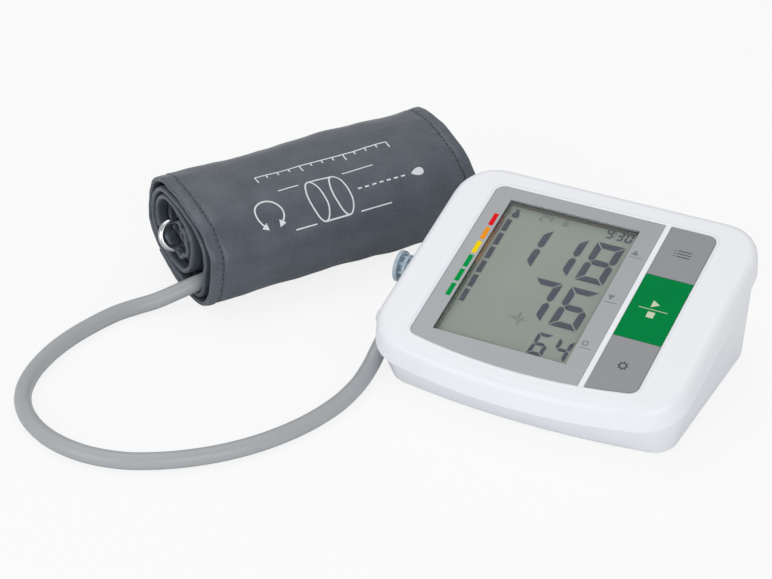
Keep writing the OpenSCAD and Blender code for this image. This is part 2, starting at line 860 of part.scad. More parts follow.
module wire_leads() {
    // battery bay to board, motor to board, valve to board, mains jack to board
    bay_y = bay_front - bay_wall;
    lead("firebrick", [[-24, bay_y - 1, 12], [-24, bay_y - 1.4, 18], [-24, bay_y - 2.4, 23],
        [-24, bay_y - 3.4, board_under_z(bay_y - 3.4) - 0.4]]);
    lead("navy", [[49, 40.3, 26.6], [49, 40.3, 31], [49, 39.6, 37], [49, 38, 41.5], [49, 37, board_under_z(37) - 0.4]]);
    lead("dimgray", [[-40, -6, valve_z[1] + 0.4], [-40, -6.6, 21], [-40, -7, 26], [-40, -7, board_under_z(-7) - 0.4]]);
    lead("black", [[jack_wall + 10.9, jack_y, jack_z], [-55.6, -33, jack_z - 0.6], [-52, -30, jack_z + 0.4],
        [-49.6, -28, jack_z + 2.4], [-48.6, -27.2, board_under_z(-27.2) - 0.5]], [0.62, -0.78, 0]);
}

// ---------- air plug and hose ----------

plug_x = lip_left - 3.5;        // where the hose leaves the plug
disc_x = lip_left - 13.9;       // outer face of the grip disc
neck_tip = air_x - 0.6;
collar = [for (out = [0.3, 2.7]) -socket_wall + socket_rim + out];
grip_ring = [for (out = [8.5, 9.9]) -lip_left + out];
elbow_dip = 25;         // slope of the hose where it leaves the plug
elbow_l = 9;

module air_plug() {
    color("lightslategray") {
        difference() {
            union() {
                out_left(0, socket_y, socket_z) {
                    rod(nozzle_d, -neck_tip, collar[0] + 0.4);
                    rod(11, collar[0], collar[1]);
                    rod(9, collar[0] + 1, -disc_x);
                    rod(12.5, grip_ring[0], grip_ring[1]);
                    rod(grip_d, -disc_x - 1.8, -disc_x);
                    for (turn = [0:45:135]) rotate([0, 0, turn]) bar(-5.6, 5.6, -0.7, 0.7, grip_ring[0] - 2, -disc_x - 1);
                }
                translate([plug_x, socket_y, socket_z]) {
                    rotate([90 + elbow_dip, 0, 0]) rod(10, -2, elbow_l - 3);
                    rotate([90 + elbow_dip, 0, 0]) rod(9, 0, elbow_l);
                    sphere(d = 10);
                }
            }
            out_left(0, socket_y, socket_z) rod(3, -neck_tip - 1, -plug_x - 1);
            translate([plug_x, socket_y, socket_z]) rotate([90 + elbow_dip, 0, 0]) rod(3, 0, elbow_l + 1);
        }
    }
}

hose_z = floor_z + hose_d / 2;
// Centre line of the hose, from the cuff's port to the plug. It lies on the surface for most of its way.
HOSE = [
    [-173.0, -22.5, 9.8], [-175.0, -25.7, 9.8], [-179.2, -32.0, 8.8], [-184.4, -38.2, 6.7], [-191.0, -45.4, 4.1],
    [-197.4, -53.0, hose_z], [-202.2, -61.6, hose_z], [-206.0, -73.0, hose_z], [-209.4, -89.0, hose_z],
    [-210.4, -106.0, hose_z], [-208.0, -124.0, hose_z], [-201.5, -140.0, hose_z], [-190.0, -152.6, hose_z],
    [-173.5, -161.5, hose_z], [-155.0, -164.6, hose_z], [-137.6, -162.0, hose_z], [-123.6, -155.6, hose_z],
    [-110.4, -146.2, hose_z], [-98.2, -134.1, hose_z], [-87.8, -119.4, hose_z], [-79.6, -102.0, hose_z],
    [-74.6, -83.0, hose_z], [-73.6, -65.0, hose_z], [-75.0, -50.0, 3.8], [-76.4, -38.0, 6.6],
    [-77.0, -27.0, 11.0], [-77.0, -16.0, 16.2],
    [plug_x, socket_y - (elbow_l + 4) * cos(elbow_dip), socket_z - (elbow_l + 4) * sin(elbow_dip)],
    [plug_x, socket_y - elbow_l * cos(elbow_dip), socket_z - elbow_l * sin(elbow_dip)]
];

// Smooth between its straight ends, which are square to the port and the plug
module air_hose() {
    last = len(HOSE) - 1;
    middle = [for (k = [1:last - 1]) HOSE[k]];
    color("darkgray") sweep(concat([HOSE[0]], smooth(middle, 2), [HOSE[last]]), hose_d / 2, 10);
}

// ---------- cuff ----------

cuff_at = [-190.7, -23.7];
cuff_mid_z = 24.9;        // centre of the roll above the origin
cuff_lean = -12.5;      // lean of the roll's section
turn_steps = 36;
turns = 129 / turn_steps;
first_angle = -120;     // where the cloth's outer end lies
// squareness of the section, by turns: the second turn is pressed into its lower right corner
squareness = [[0, 2.77], [0.85, 2.77], [1.05, 2.8], [1.2, 3.4], [1.34, 3.2], [1.6, 2.5], [4, 2.2]];

// Half-extents of the cloth's centre line, by turns from the outer end: it packs loosely at the right
reach_right = [[0, 33.2], [0.33, 33.2], [1.1, 28], [1.33, 24.8], [2.33, 11.6], [3.33, 8.2], [4, 6]];
reach_left = [[0, 33.2], [0.83, 33.2], [1.02, 31.2], [1.83, 29.8], [2.83, 26], [3.83, 17]];
reach_top = [[0, 23.2], [0.58, 23.2], [1.58, 19], [2.58, 15], [3.58, 9.6]];
reach_bottom = [[0, 23.2], [0.08, 23.2], [0.9, 20.8], [1.08, 20.2], [1.3, 20.2], [2.08, 16.6], [3.08, 10.5], [4, 8]];

function power(v, e) = sign(v) * pow(abs(v), e);
function roll(t) =
    let (
        a = first_angle + 360 * t,
        n = lookup(t, squareness),
        r = lookup(t, reach_right), l = lookup(t, reach_left),
        u = lookup(t, reach_top), d = lookup(t, reach_bottom),
        c = power(cos(a), 2 / n), s = power(sin(a), 2 / n)
    )
    [(r - l) / 2 + (r + l) / 2 * c, (u - d) / 2 + (u + d) / 2 * s];
function roll_side(t) =
    let (v = roll(t + 0.004) - roll(t - 0.004)) unit([v[1], -v[0]]);

// Band of the roll from turn t0 to t1, between two offsets from the centre line
// All bands share the same stations, so that their faces run alongside each other.
function stations(t0, t1) =
    concat([t0], [for (k = [floor(t0 * turn_steps + 1.05):ceil(t1 * turn_steps - 1.05)]) k / turn_steps], [t1]);
function band(t0, t1, o0, o1) =
    let (at = stations(t0, t1))
    concat(
        [for (t = at) roll(t) + o1 * roll_side(t)],
        [for (k = [len(at) - 1:-1:0]) roll(at[k]) + o0 * roll_side(at[k])]
    );

// Cuff frame: X across the roll, Y along it, Z up, origin at the roll's near end on the surface
module in_cuff() {
    translate([cuff_at[0], cuff_at[1], 0]) rotate([0, 0, cuff_turn - 90]) children();
}

// Extrudes a section of the roll between two places along it
module along_roll(y0, y1) {
    in_cuff() translate([0, y1, cuff_mid_z]) rotate([90, 0, 0]) rotate([0, 0, cuff_lean])
        linear_extrude(y1 - y0) children();
}

module above_floor() {
    intersection() {
        children();
        translate([-big, -big, floor_z]) cube(2 * big);
    }
}

// The ring's long wires, in the section: the upper one runs in the cloth's sleeve
ring_tilt = -53.4;
ring_top = [-6.4, 8.25];
ring_low = ring_top + ring_gap * [cos(ring_tilt), sin(ring_tilt)];
sleeve_bore = wire_d + 2 * shaft_gap;
sleeve_d = wire_d + 2.6;

bladder_turns = [12 / turn_steps, 50 / turn_steps];
bladder_edge = 14;      // from the cloth's edge to the bladder

module cuff_cloth() {
    color("slategray") above_floor() difference() {
        union() {
            along_roll(0, cuff_w) polygon(band(0, turns, -cuff_t / 2, cuff_t / 2));
            along_roll(3, cuff_w - 3) translate(ring_top) circle(d = sleeve_d);
        }
        along_roll(bladder_edge - 0.5, cuff_w - bladder_edge + 0.5)
            polygon(band(bladder_turns[0] - 0.005, bladder_turns[1] + 0.005,
                -bladder_t / 2 - slack, bladder_t / 2 + slack));
        along_roll(-1, cuff_w + 1) translate(ring_top) circle(d = sleeve_bore);
    }
}

module cuff_bladder() {
    color("tan") along_roll(bladder_edge, cuff_w - bladder_edge)
        polygon(band(bladder_turns[0], bladder_turns[1], -bladder_t / 2, bladder_t / 2));
}

patch_t = 0.9;
patch_gap = 0.06;

module hook_patch() {
    color("black") above_floor() along_roll(24, cuff_w - 24)
        polygon(band(8 / turn_steps, 16 / turn_steps, -cuff_t / 2 - patch_t, -cuff_t / 2 - patch_gap));
}

module loop_patch() {
    color("darkslategray") along_roll(20, cuff_w - 20)
        polygon(band(53 / turn_steps, 62 / turn_steps, -cuff_t / 2 - patch_t, -cuff_t / 2 - patch_gap));
}

port_l = 12;

// Nipple of the bladder that the hose is joined to, in line with the hose's first stretch
module hose_port() {
    dir = unit(HOSE[0] - HOSE[1]);
    color("lightslategray") translate(HOSE[0])
        rotate([0, acos(dir[2]), atan2(dir[1], dir[0])]) {
            rod(hose_d, 0, port_l);
            rod(9, port_l - 4, port_l);
        }
}

module cuff_ring() {
    wire = wire_d;
    r = ring_gap / 2;
    out = ring_out - r;
    color("silver") in_cuff() translate([0, 0, cuff_mid_z]) rotate([0, -cuff_lean, 0])
        translate([ring_top[0], 0, ring_top[1]]) rotate([0, -ring_tilt, 0]) {
            for (x = [0, ring_gap]) translate([x, -out, 0]) rotate([-90, 0, 0])
                cylinder(d = wire, h = cuff_w + 2 * out);
            for (end = [-out, cuff_w + out]) translate([r, end, 0])
                rotate([0, 0, end < 0 ? 180 : 0]) rotate_extrude(angle = 180) translate([r, 0]) circle(d = wire);
        }
}

upper_shell();
lower_shell();
display_bezel();
display_window();
lcd_panel();
lcd_holder();
zebra_strips();
circuit_board();
board_chips();
pressure_sensor();
buzzer();
memory_key();
start_key();
set_key();
switch_bodies();
memory_plunger();
start_plunger();
set_plunger();
board_screws();
case_screws();
battery_cover();
battery_cells();
battery_springs();
battery_plates();
rubber_feet();
pump_motor();
pump_head();
pump_sleeve();
release_valve();
air_manifold();
air_tubes();
air_socket();
mains_jack();
jack_cover();
wire_leads();
air_plug();
air_hose();
cuff_cloth();
cuff_bladder();
hose_port();
cuff_ring();
hook_patch();
loop_patch();
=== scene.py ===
"""Looks of an upper arm blood pressure monitor, its air hose and its rolled cuff."""
import json
import math

import bmesh
import bpy
from mathutils import Matrix, Vector, noise


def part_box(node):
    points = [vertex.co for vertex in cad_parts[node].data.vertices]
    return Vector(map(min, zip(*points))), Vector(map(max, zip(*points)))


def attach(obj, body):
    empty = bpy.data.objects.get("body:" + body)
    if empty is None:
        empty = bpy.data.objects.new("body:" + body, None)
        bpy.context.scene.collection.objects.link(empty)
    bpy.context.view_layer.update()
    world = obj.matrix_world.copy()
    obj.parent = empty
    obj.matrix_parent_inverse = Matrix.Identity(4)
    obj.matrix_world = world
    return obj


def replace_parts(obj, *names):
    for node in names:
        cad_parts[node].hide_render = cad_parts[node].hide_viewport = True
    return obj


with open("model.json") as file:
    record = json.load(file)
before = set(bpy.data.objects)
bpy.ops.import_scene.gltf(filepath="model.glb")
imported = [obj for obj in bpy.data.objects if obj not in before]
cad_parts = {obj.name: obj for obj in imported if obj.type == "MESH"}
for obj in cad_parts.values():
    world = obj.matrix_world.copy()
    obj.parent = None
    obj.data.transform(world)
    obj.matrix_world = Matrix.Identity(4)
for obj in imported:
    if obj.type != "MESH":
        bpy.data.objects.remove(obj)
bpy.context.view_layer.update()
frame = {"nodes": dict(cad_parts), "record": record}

MM = 0.001
FLOOR_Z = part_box("rubber_feet")[0].z

RECORD = frame["record"]
SLOT_OF = {part["node"]: part["material_slot"] for part in RECORD["subparts"]}
BODY_OF = {node: body for body, nodes in RECORD["behaviour"]["bodies"].items() for node in nodes}


# ---------- camera ----------

CAMERA_AT = (0.35003, -0.85187, 0.59796)
CAMERA_TURN = 27.447    # degrees to the left of straight ahead
CAMERA_DIP = 31.340     # degrees below the horizon
CAMERA_LENS = 111.92    # mm, on a sensor 36 mm wide


def make_camera():
    data = bpy.data.cameras.new("photo_camera")
    data.sensor_width = 36
    data.lens = CAMERA_LENS
    data.clip_start = 0.05
    camera = bpy.data.objects.new("photo_camera", data)
    camera.location = CAMERA_AT
    camera.rotation_euler = (math.radians(90 - CAMERA_DIP), 0, math.radians(CAMERA_TURN))
    bpy.context.scene.collection.objects.link(camera)
    bpy.context.scene.camera = camera


make_camera()


# ---------- shader nodes ----------

class Value:
    """An output that is worked with like a number: each operation adds a Math node."""

    def __init__(self, finish, socket):
        self.finish = finish
        self.socket = socket

    def math(self, operation, *values):
        return self.finish.node("ShaderNodeMath", {"operation": operation}, dict(enumerate(values)))

    def __add__(self, other):
        return self.math("ADD", self, other)

    def __radd__(self, other):
        return self.math("ADD", other, self)

    def __sub__(self, other):
        return self.math("SUBTRACT", self, other)

    def __rsub__(self, other):
        return self.math("SUBTRACT", other, self)

    def __mul__(self, other):
        return self.math("MULTIPLY", self, other)

    def __rmul__(self, other):
        return self.math("MULTIPLY", other, self)

    def sine(self):
        return self.math("SINE", self)

    def size(self):
        return self.math("ABSOLUTE", self)

    def step(self, low, high):
        """0 below low, 1 above high and a smooth rise between them."""
        ends = {"Value": self, "From Min": low, "From Max": high}
        return self.finish.node("ShaderNodeMapRange", {"interpolation_type": "SMOOTHSTEP"}, ends)


class Finish:
    """A material in the making."""

    def __init__(self, name):
        self.material = bpy.data.materials.new(name)
        self.material.use_nodes = True
        self.tree = self.material.node_tree
        self.tree.nodes.clear()

    def node(self, kind, settings=None, inputs=None, output=0):
        """Adds a node, gives it its settings, then its inputs, and returns one of its outputs."""
        made = self.tree.nodes.new(kind)
        for name, setting in (settings or {}).items():
            setattr(made, name, setting)
        for name, value in (inputs or {}).items():
            if isinstance(value, Value):
                self.tree.links.new(value.socket, made.inputs[name])
            else:
                made.inputs[name].default_value = value
        return Value(self, made.outputs[output]) if made.outputs else None

    def place(self, turn=(0, 0, 0), stretch=(1, 1, 1)):
        """Where a point is on the object in metres, turned and stretched."""
        where = self.node("ShaderNodeTexCoord", output="Object")
        if turn == (0, 0, 0) and stretch == (1, 1, 1):
            return where
        turned = self.node("ShaderNodeMapping", {}, {"Vector": where, "Rotation": turn})
        return self.node("ShaderNodeMapping", {}, {"Vector": turned, "Scale": stretch})

    def noise(self, where, size, detail=2.0, roughness=0.5):
        """Cloudy noise from 0 to 1, with patches of about that size in metres."""
        inputs = {"Vector": where, "Scale": 1 / size, "Detail": detail, "Roughness": roughness}
        return self.node("ShaderNodeTexNoise", {}, inputs)

    def mix(self, first, second, share):
        """A colour from first to second."""
        inputs = {0: share, 6: first, 7: second}
        return self.node("ShaderNodeMix", {"data_type": "RGBA"}, inputs, output=2)

    def bump(self, height, depth):
        """A normal for a relief of that depth in metres."""
        return self.node("ShaderNodeBump", {}, {"Height": height, "Distance": depth})

    def principled(self, colour, roughness, **more):
        inputs = {"Base Color": colour, "Roughness": roughness}
        for name, value in more.items():
            inputs[name.replace("_", " ").title().replace("Ior", "IOR")] = value
        return self.node("ShaderNodeBsdfPrincipled", {}, inputs)

    def done(self, shader):
        self.node("ShaderNodeOutputMaterial", {}, {"Surface": shader})
        return self.material


def srgb(red, green, blue, alpha=1.0):
    """A display colour from 0 to 255 as the linear colour of a shader."""
    def linear(c):
        c = c / 255
        return c / 12.92 if c <= 0.04045 else ((c + 0.055) / 1.055) ** 2.4
    return (linear(red), linear(green), linear(blue), alpha)


def shade(colour, factor):
    """The same colour, lighter or darker."""
    return tuple(min(1.0, c * factor) for c in colour[:3]) + (colour[3],)


# ---------- finishes ----------

FACE_TILT = 17.0


def moulded(name, colour, roughness=0.45, grain=0.3, relief=0.003, mottle=0.03, **more):
    """Moulded plastic or rubber: faint clouds in its colour and a fine grain, sizes in mm."""
    f = Finish(name)
    where = f.place()
    clouds = f.noise(where, 14 * MM, detail=3)
    fine = f.noise(where, grain * MM, detail=2)
    colour = f.mix(shade(colour, 1 - mottle), shade(colour, 1 + mottle), clouds)
    rough = fine * 0.12 + (roughness - 0.06)
    shader = f.principled(colour, rough, normal=f.bump(fine, relief * MM), **more)
    return f.done(shader)


def brushed(name, colour, roughness=0.38, metallic=0.4, streak=0.05, relief=0.0012, **more):
    """Film or sheet on the sloping face, brushed along X."""
    f = Finish(name)
    where = f.place(turn=(math.radians(-FACE_TILT), 0, 0), stretch=(1, 60, 60))
    lines = f.noise(where, 9 * MM, detail=4, roughness=0.7)
    clouds = f.noise(f.place(), 25 * MM, detail=2)
    tone = lines * 0.75 + clouds * 0.25
    colour = f.mix(shade(colour, 1 - streak), shade(colour, 1 + streak), tone)
    rough = lines * 0.16 + (roughness - 0.08)
    shader = f.principled(colour, rough, metallic=metallic,
                          normal=f.bump(lines, relief * MM), **more)
    return f.done(shader)


def metal(name, colour, roughness=0.25, scuff=0.1, patch=2.0):
    """Bare metal with a little uneven polish."""
    f = Finish(name)
    where = f.place()
    clouds = f.noise(where, patch * MM, detail=4)
    colour = f.mix(shade(colour, 0.93), shade(colour, 1.03), clouds)
    shader = f.principled(colour, clouds * scuff + (roughness - scuff / 2), metallic=1.0)
    return f.done(shader)


def circuit(name):
    """Green solder mask over tracks that run in steps, with pale pads."""
    f = Finish(name)
    where = f.place()
    tracks = f.node("ShaderNodeTexVoronoi",
                    {"distance": "CHEBYCHEV", "feature": "DISTANCE_TO_EDGE"},
                    {"Vector": where, "Scale": 1 / (2.4 * MM)})
    copper = 1 - tracks.step(0.05, 0.09)
    colour = f.mix(srgb(14, 84, 48), srgb(42, 128, 80), copper)
    shader = f.principled(colour, 0.36 - copper * 0.08, normal=f.bump(copper, 0.03 * MM))
    return f.done(shader)


def cell_sleeve(name):
    """Printed sleeve of a dry cell: dark with a copper coloured band at one end."""
    f = Finish(name)
    where = f.place()
    along = f.node("ShaderNodeSeparateXYZ", {}, {"Vector": where}, output="Y")
    band = along.step(21.0 * MM, 21.3 * MM)
    colour = f.mix(srgb(48, 50, 54), srgb(190, 132, 62), band)
    fine = f.noise(where, 0.6 * MM, detail=2)
    shader = f.principled(colour, fine * 0.1 + 0.25, metallic=0.3, normal=f.bump(fine, 0.004 * MM))
    return f.done(shader)


def display_glass(name):
    """The liquid crystal panel: grey-green with a soft unevenness."""
    f = Finish(name)
    where = f.place()
    clouds = f.noise(where, 30 * MM, detail=2)
    fine = f.noise(where, 0.25 * MM, detail=1)
    colour = f.mix(srgb(124, 131, 122), srgb(136, 143, 133), clouds * 0.8 + fine * 0.2)
    shader = f.principled(colour, fine * 0.06 + 0.4, normal=f.bump(fine, 0.001 * MM),
                          specular_ior_level=0.2)
    return f.done(shader)


def window_glass(name):
    """Clear window with a faint haze, which lets the lamps through to the display."""
    f = Finish(name)
    haze = f.noise(f.place(), 18 * MM, detail=3)
    clear = f.principled(srgb(246, 249, 248), haze * 0.004, transmission_weight=1.0, ior=1.3,
                         specular_ior_level=0.15)
    through = f.node("ShaderNodeBsdfTransparent", {}, {"Color": srgb(240, 243, 243)})
    lamp = f.node("ShaderNodeLightPath", output="Is Shadow Ray")
    return f.done(f.node("ShaderNodeMixShader", {}, {0: lamp, 1: clear, 2: through}))


WEAVE = 0.42            # mm from one thread to the next


def woven(name, dark, light, gloss=0.36, relief=0.045):
    """Coated nylon in the piece's own flat coordinates: a weave, creases and a soft gloss."""
    f = Finish(name)
    flat = f.node("ShaderNodeUVMap", {"uv_map": "flat"})
    across = f.node("ShaderNodeSeparateXYZ", {}, {"Vector": flat}, output="X")
    along = f.node("ShaderNodeSeparateXYZ", {}, {"Vector": flat}, output="Y")
    turns = math.pi / (WEAVE * MM)
    warp = (across * turns).sine().size()
    weft = (along * turns).sine().size()
    over = ((across * turns).sine() * (along * turns).sine()).step(-0.5, 0.5)
    threads = warp * over + weft * (1 - over)
    slubs = f.noise(flat, 0.9 * MM, detail=3)
    creases = f.noise(flat, 12 * MM, detail=5, roughness=0.6)
    tone = threads * 0.25 + slubs * 0.45 + creases * 0.3
    colour = f.mix(dark, light, tone.step(0.25, 0.75))
    height = threads * 0.4 + creases.step(0.3, 0.7) * 2.2 + slubs * 0.6
    shader = f.principled(colour, creases * 0.12 + (gloss - 0.06),
                          normal=f.bump(height, relief * MM),
                          sheen_weight=0.12, sheen_roughness=0.4, specular_ior_level=0.6)
    return f.done(shader)


def tape(name, colour):
    """Hook or loop tape: a pile of tiny tufts."""
    f = Finish(name)
    where = f.place()
    tufts = f.node("ShaderNodeTexVoronoi", {"feature": "F1"},
                   {"Vector": where, "Scale": 1 / (0.9 * MM)})
    fine = f.noise(where, 0.3 * MM, detail=3)
    colour = f.mix(shade(colour, 1.35), shade(colour, 0.6), tufts * 0.8 + fine * 0.2)
    shader = f.principled(colour, 0.9, normal=f.bump(1 - tufts, 0.25 * MM), sheen_weight=0.4)
    return f.done(shader)


FINISHES = {
    "housing_white": lambda n: moulded(n, srgb(240, 242, 247), roughness=0.3, grain=0.5,
                                       relief=0.0015, mottle=0.008,
                                       coat_weight=0.1, coat_roughness=0.12),
    "surround": lambda n: brushed(n, srgb(158, 161, 163), metallic=0.5),
    "window": window_glass,
    "lcd": display_glass,
    "holder": lambda n: moulded(n, srgb(226, 226, 222)),
    "zebra": lambda n: moulded(n, srgb(120, 122, 126), roughness=0.8, grain=0.15),
    "board": circuit,
    "chip": lambda n: moulded(n, srgb(38, 39, 42), roughness=0.5),
    "key_grey": lambda n: brushed(n, srgb(147, 149, 152), roughness=0.45, metallic=0.1,
                                  specular_ior_level=0.3),
    "key_green": lambda n: moulded(n, srgb(0, 132, 66), roughness=0.6, grain=0.4, relief=0.002,
                                   mottle=0.02, specular_ior_level=0.03),
    "switch": lambda n: moulded(n, srgb(196, 196, 192)),
    "plunger": lambda n: moulded(n, srgb(46, 46, 50)),
    "screw": lambda n: metal(n, srgb(206, 206, 204), roughness=0.3),
    "cell": cell_sleeve,
    "contact": lambda n: metal(n, srgb(214, 212, 206), roughness=0.25),
    "foot": lambda n: moulded(n, srgb(92, 95, 100), roughness=0.75, grain=0.25, relief=0.01),
    "motor": lambda n: metal(n, srgb(200, 201, 204), roughness=0.28, patch=5.0),
    "sleeve": lambda n: moulded(n, srgb(50, 50, 54), roughness=0.9, grain=0.9, relief=0.08,
                                mottle=0.12),
    "tube": lambda n: moulded(n, srgb(226, 226, 218), roughness=0.35, grain=1.0),
    "fitting": lambda n: moulded(n, srgb(176, 194, 205), roughness=0.3, grain=0.4,
                                 coat_weight=0.15),
    "fitting_white": lambda n: moulded(n, srgb(228, 228, 226)),
    "jack": lambda n: moulded(n, srgb(30, 30, 33), roughness=0.4),
    "cap": lambda n: moulded(n, srgb(234, 237, 240), roughness=0.5, grain=0.4),
    "wire": lambda n: moulded(n, srgb(168, 48, 44), roughness=0.4, grain=0.8, mottle=0.2),
    "hose": lambda n: moulded(n, srgb(170, 174, 177), roughness=0.3, grain=0.7, relief=0.004,
                              mottle=0.04),
    "cloth": lambda n: woven(n, srgb(54, 61, 70), srgb(92, 101, 111)),
    "bladder": lambda n: moulded(n, srgb(186, 168, 140), roughness=0.6),
    "ring": lambda n: metal(n, srgb(222, 222, 226), roughness=0.07, scuff=0.03, patch=6.0),
    "hook": lambda n: tape(n, srgb(40, 41, 45)),
    "loop": lambda n: tape(n, srgb(74, 80, 88)),
}
MATERIALS = {slot: make(slot) for slot, make in FINISHES.items()}


# ---------- pieces ----------

def mesh_of(bm, name):
    """Ends a bmesh in a mesh."""
    mesh = bpy.data.meshes.new(name)
    bm.to_mesh(mesh)
    bm.free()
    return mesh


def add_piece(name, bm, body, finish, slot=None, smooth=30):
    """Puts a finished bmesh in the scene, on its body and with its material."""
    mesh = mesh_of(bm, name)
    mesh.materials.clear()
    mesh.materials.append(finish)
    mesh.shade_smooth()
    mesh.set_sharp_from_angle(angle=math.radians(smooth))
    piece = bpy.data.objects.new(name, mesh)
    bpy.context.scene.collection.objects.link(piece)
    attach(piece, body)
    return piece


def dress_nodes():
    """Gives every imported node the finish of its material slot."""
    for name, node in frame["nodes"].items():
        node.data.materials.clear()
        node.data.materials.append(MATERIALS[SLOT_OF[name]])


SMOOTH_TO = 32          # degrees between two faces of a node, up to which they shade as one


def eased(node, radius=0.0):
    """Stands for a node: the same shape, shaded smooth, with corners of a small radius in mm."""
    bm = bmesh.new()
    bm.from_mesh(frame["nodes"][node].data)
    bmesh.ops.remove_doubles(bm, verts=bm.verts[:], dist=0.002 * MM)
    bmesh.ops.dissolve_limit(bm, angle_limit=math.radians(0.6), verts=bm.verts[:],
                             edges=bm.edges[:], delimit={"NORMAL"})
    slot = SLOT_OF[node]
    piece = add_piece(f"{node}_finished", bm, BODY_OF[node], MATERIALS[slot], slot, SMOOTH_TO)
    if radius:
        bevel = piece.modifiers.new("edge_radius", "BEVEL")
        bevel.width = radius * MM
        bevel.segments = 2
        bevel.limit_method = "ANGLE"
        bevel.angle_limit = math.radians(SMOOTH_TO + 5)
    weighted = piece.modifiers.new("even_shading", "WEIGHTED_NORMAL")
    weighted.keep_sharp = True
    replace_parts(piece, node)
    return piece


# ---------- face ----------

FACE_HEIGHT = 48.2      # mm, of the face's plane over the origin
# Face frame in mm: X as before, V up the slope, N out of the face
FACE = (Matrix.Translation((0, 0, FACE_HEIGHT * MM))
        @ Matrix.Rotation(math.radians(FACE_TILT), 4, "X") @ Matrix.Scale(MM, 4))
# Levels of N that are printed on
SURROUND_N = -0.2
KEY_N = 0.3
LCD_N = -4.2
FILM_T = 0.03           # mm, of anything printed


def plates(name, outlines, level, finish, body):
    """Thin flat pieces on the face, from outlines in X and V in mm."""
    bm = bmesh.new()
    for outline in outlines:
        bm.faces.new([bm.verts.new((x, v, level)) for x, v in outline])
    raised = bmesh.ops.extrude_face_region(bm, geom=bm.faces[:])["geom"]
    tops = [g for g in raised if isinstance(g, bmesh.types.BMVert)]
    bmesh.ops.translate(bm, vec=(0, 0, FILM_T), verts=tops)
    bmesh.ops.recalc_face_normals(bm, faces=bm.faces[:])
    bm.transform(FACE)
    return add_piece(name, bm, body, finish)


def rectangle(x, v, width, height):
    """The outline of a rectangle from its lower left corner."""
    return [(x, v), (x + width, v), (x + width, v + height), (x, v + height)]


def ring(x, v, radius, width):
    """Outlines of a ring, in pieces of 15 degrees."""
    inner, outer = radius - width / 2, radius + width / 2
    pieces = []
    for degrees in range(0, 360, 15):
        a, b = math.radians(degrees), math.radians(degrees + 15)
        corners = [(inner, a), (outer, a), (outer, b), (inner, b)]
        pieces.append([(x + r * math.cos(t), v + r * math.sin(t)) for r, t in corners])
    return pieces


def stroke(path, width):
    """A line of that width along points."""
    quads = []
    for (x0, v0), (x1, v1) in zip(path, path[1:]):
        length = math.hypot(x1 - x0, v1 - v0)
        across = ((v0 - v1) * width / 2 / length, (x1 - x0) * width / 2 / length)
        quads.append([(x0 - across[0], v0 - across[1]), (x1 - across[0], v1 - across[1]),
                      (x1 + across[0], v1 + across[1]), (x0 + across[0], v0 + across[1])])
    return quads


LIT = {"0": "abcdef", "1": "bc", "2": "abged", "3": "abgcd", "4": "fgbc", "5": "afgcd",
       "6": "afgedc", "7": "abc", "8": "abcdefg", "9": "abcdfg"}
LEAN = 0.045            # sideways shift of a digit for each mm of height


def segments(digit, width, height, bar, gap):
    """Outlines of a digit's lit segments, from its lower left corner, upright."""
    w, h, b, g, m = width, height, bar, gap, height / 2
    top = [(g, h), (w - g, h), (w - b - g, h - b), (b + g, h - b)]
    left = [(0, h - g), (b, h - b - g), (b, m + b / 2 + g / 2), (b / 2, m + g / 2), (0, m + b / 2)]
    middle = [(b / 2 + g, m), (b + g, m + b / 2), (w - b - g, m + b / 2), (w - b / 2 - g, m),
              (w - b - g, m - b / 2), (b + g, m - b / 2)]

    def flipped(outline, across, over):
        return [((w - x) if across else x, (h - y) if over else y) for x, y in outline]

    shapes = {"a": top, "d": flipped(top, False, True), "f": left, "b": flipped(left, True, False),
              "e": flipped(left, False, True), "c": flipped(left, True, True), "g": middle}
    return [shapes[s] for s in LIT[digit]]


# Digits in mm: how wide and high each is, its bars, the gaps between them, and the pitch of a row
BIG_DIGITS = {"width": 13.6, "bar": 3.4, "gap": 0.45, "pitch": 17.6}
PULSE_DIGITS = {"width": 7.2, "height": 13.2, "bar": 1.9, "gap": 0.3, "pitch": 10.4}
CLOCK_DIGITS = {"width": 3.4, "height": 5.9, "bar": 1.0, "gap": 0.15, "pitch": 4.3}
DATE_DIGITS = {"width": 2.5, "height": 4.6, "bar": 0.6, "gap": 0.15, "pitch": 3.6}


def number(text, right, base, width, height, bar, gap, pitch):
    """Outlines of a row of leaning digits, from its right edge and its base line."""
    outlines = []
    for k, digit in enumerate(reversed(text)):
        left = right - width - k * pitch
        for shape in segments(digit, width, height, bar, gap):
            outlines.append([(left + x + LEAN * y, base + y) for x, y in shape])
    return outlines


def printed(name, colour, gloss=0.2, roughness=0.5):
    """Ink on plastic or cloth, or a dark field of the display."""
    return moulded(name, colour, roughness=roughness, grain=0.4, mottle=0.05,
                   specular_ior_level=gloss)


INK = printed("lcd_ink", srgb(32, 37, 62), gloss=0.1)
INK_FAINT = printed("lcd_ink_faint", srgb(84, 90, 98), gloss=0.1)
PRINT_DARK = printed("print_dark", srgb(72, 76, 82))
PRINT_PALE = printed("print_pale", srgb(118, 132, 138))
PRINT_CREAM = printed("print_cream", srgb(206, 214, 184))
PRINT_WHITE = printed("print_white", srgb(226, 230, 234), gloss=0.5, roughness=0.55)
THREAD = moulded("thread", srgb(40, 44, 50), roughness=0.7, grain=0.3, mottle=0.2)

# Coloured marks on the surround, and the dark dashes beside them on the display
MARK_COLOURS = {"red": (232, 24, 36), "orange": (246, 152, 34), "yellow": (252, 218, 0),
                "green": (0, 150, 72)}
MARK_ORDER = ["red", "orange", "yellow", "green", "green", "green"]
MARK_X, MARK_TOP, MARK_PITCH = -47.8, 23.4, 9.2
MARK_W, MARK_H = 2.3, 7.7
DASH_X, DASH_TOP, DASH_W, DASH_H = -42.5, 25.1, 2.6, 7.6


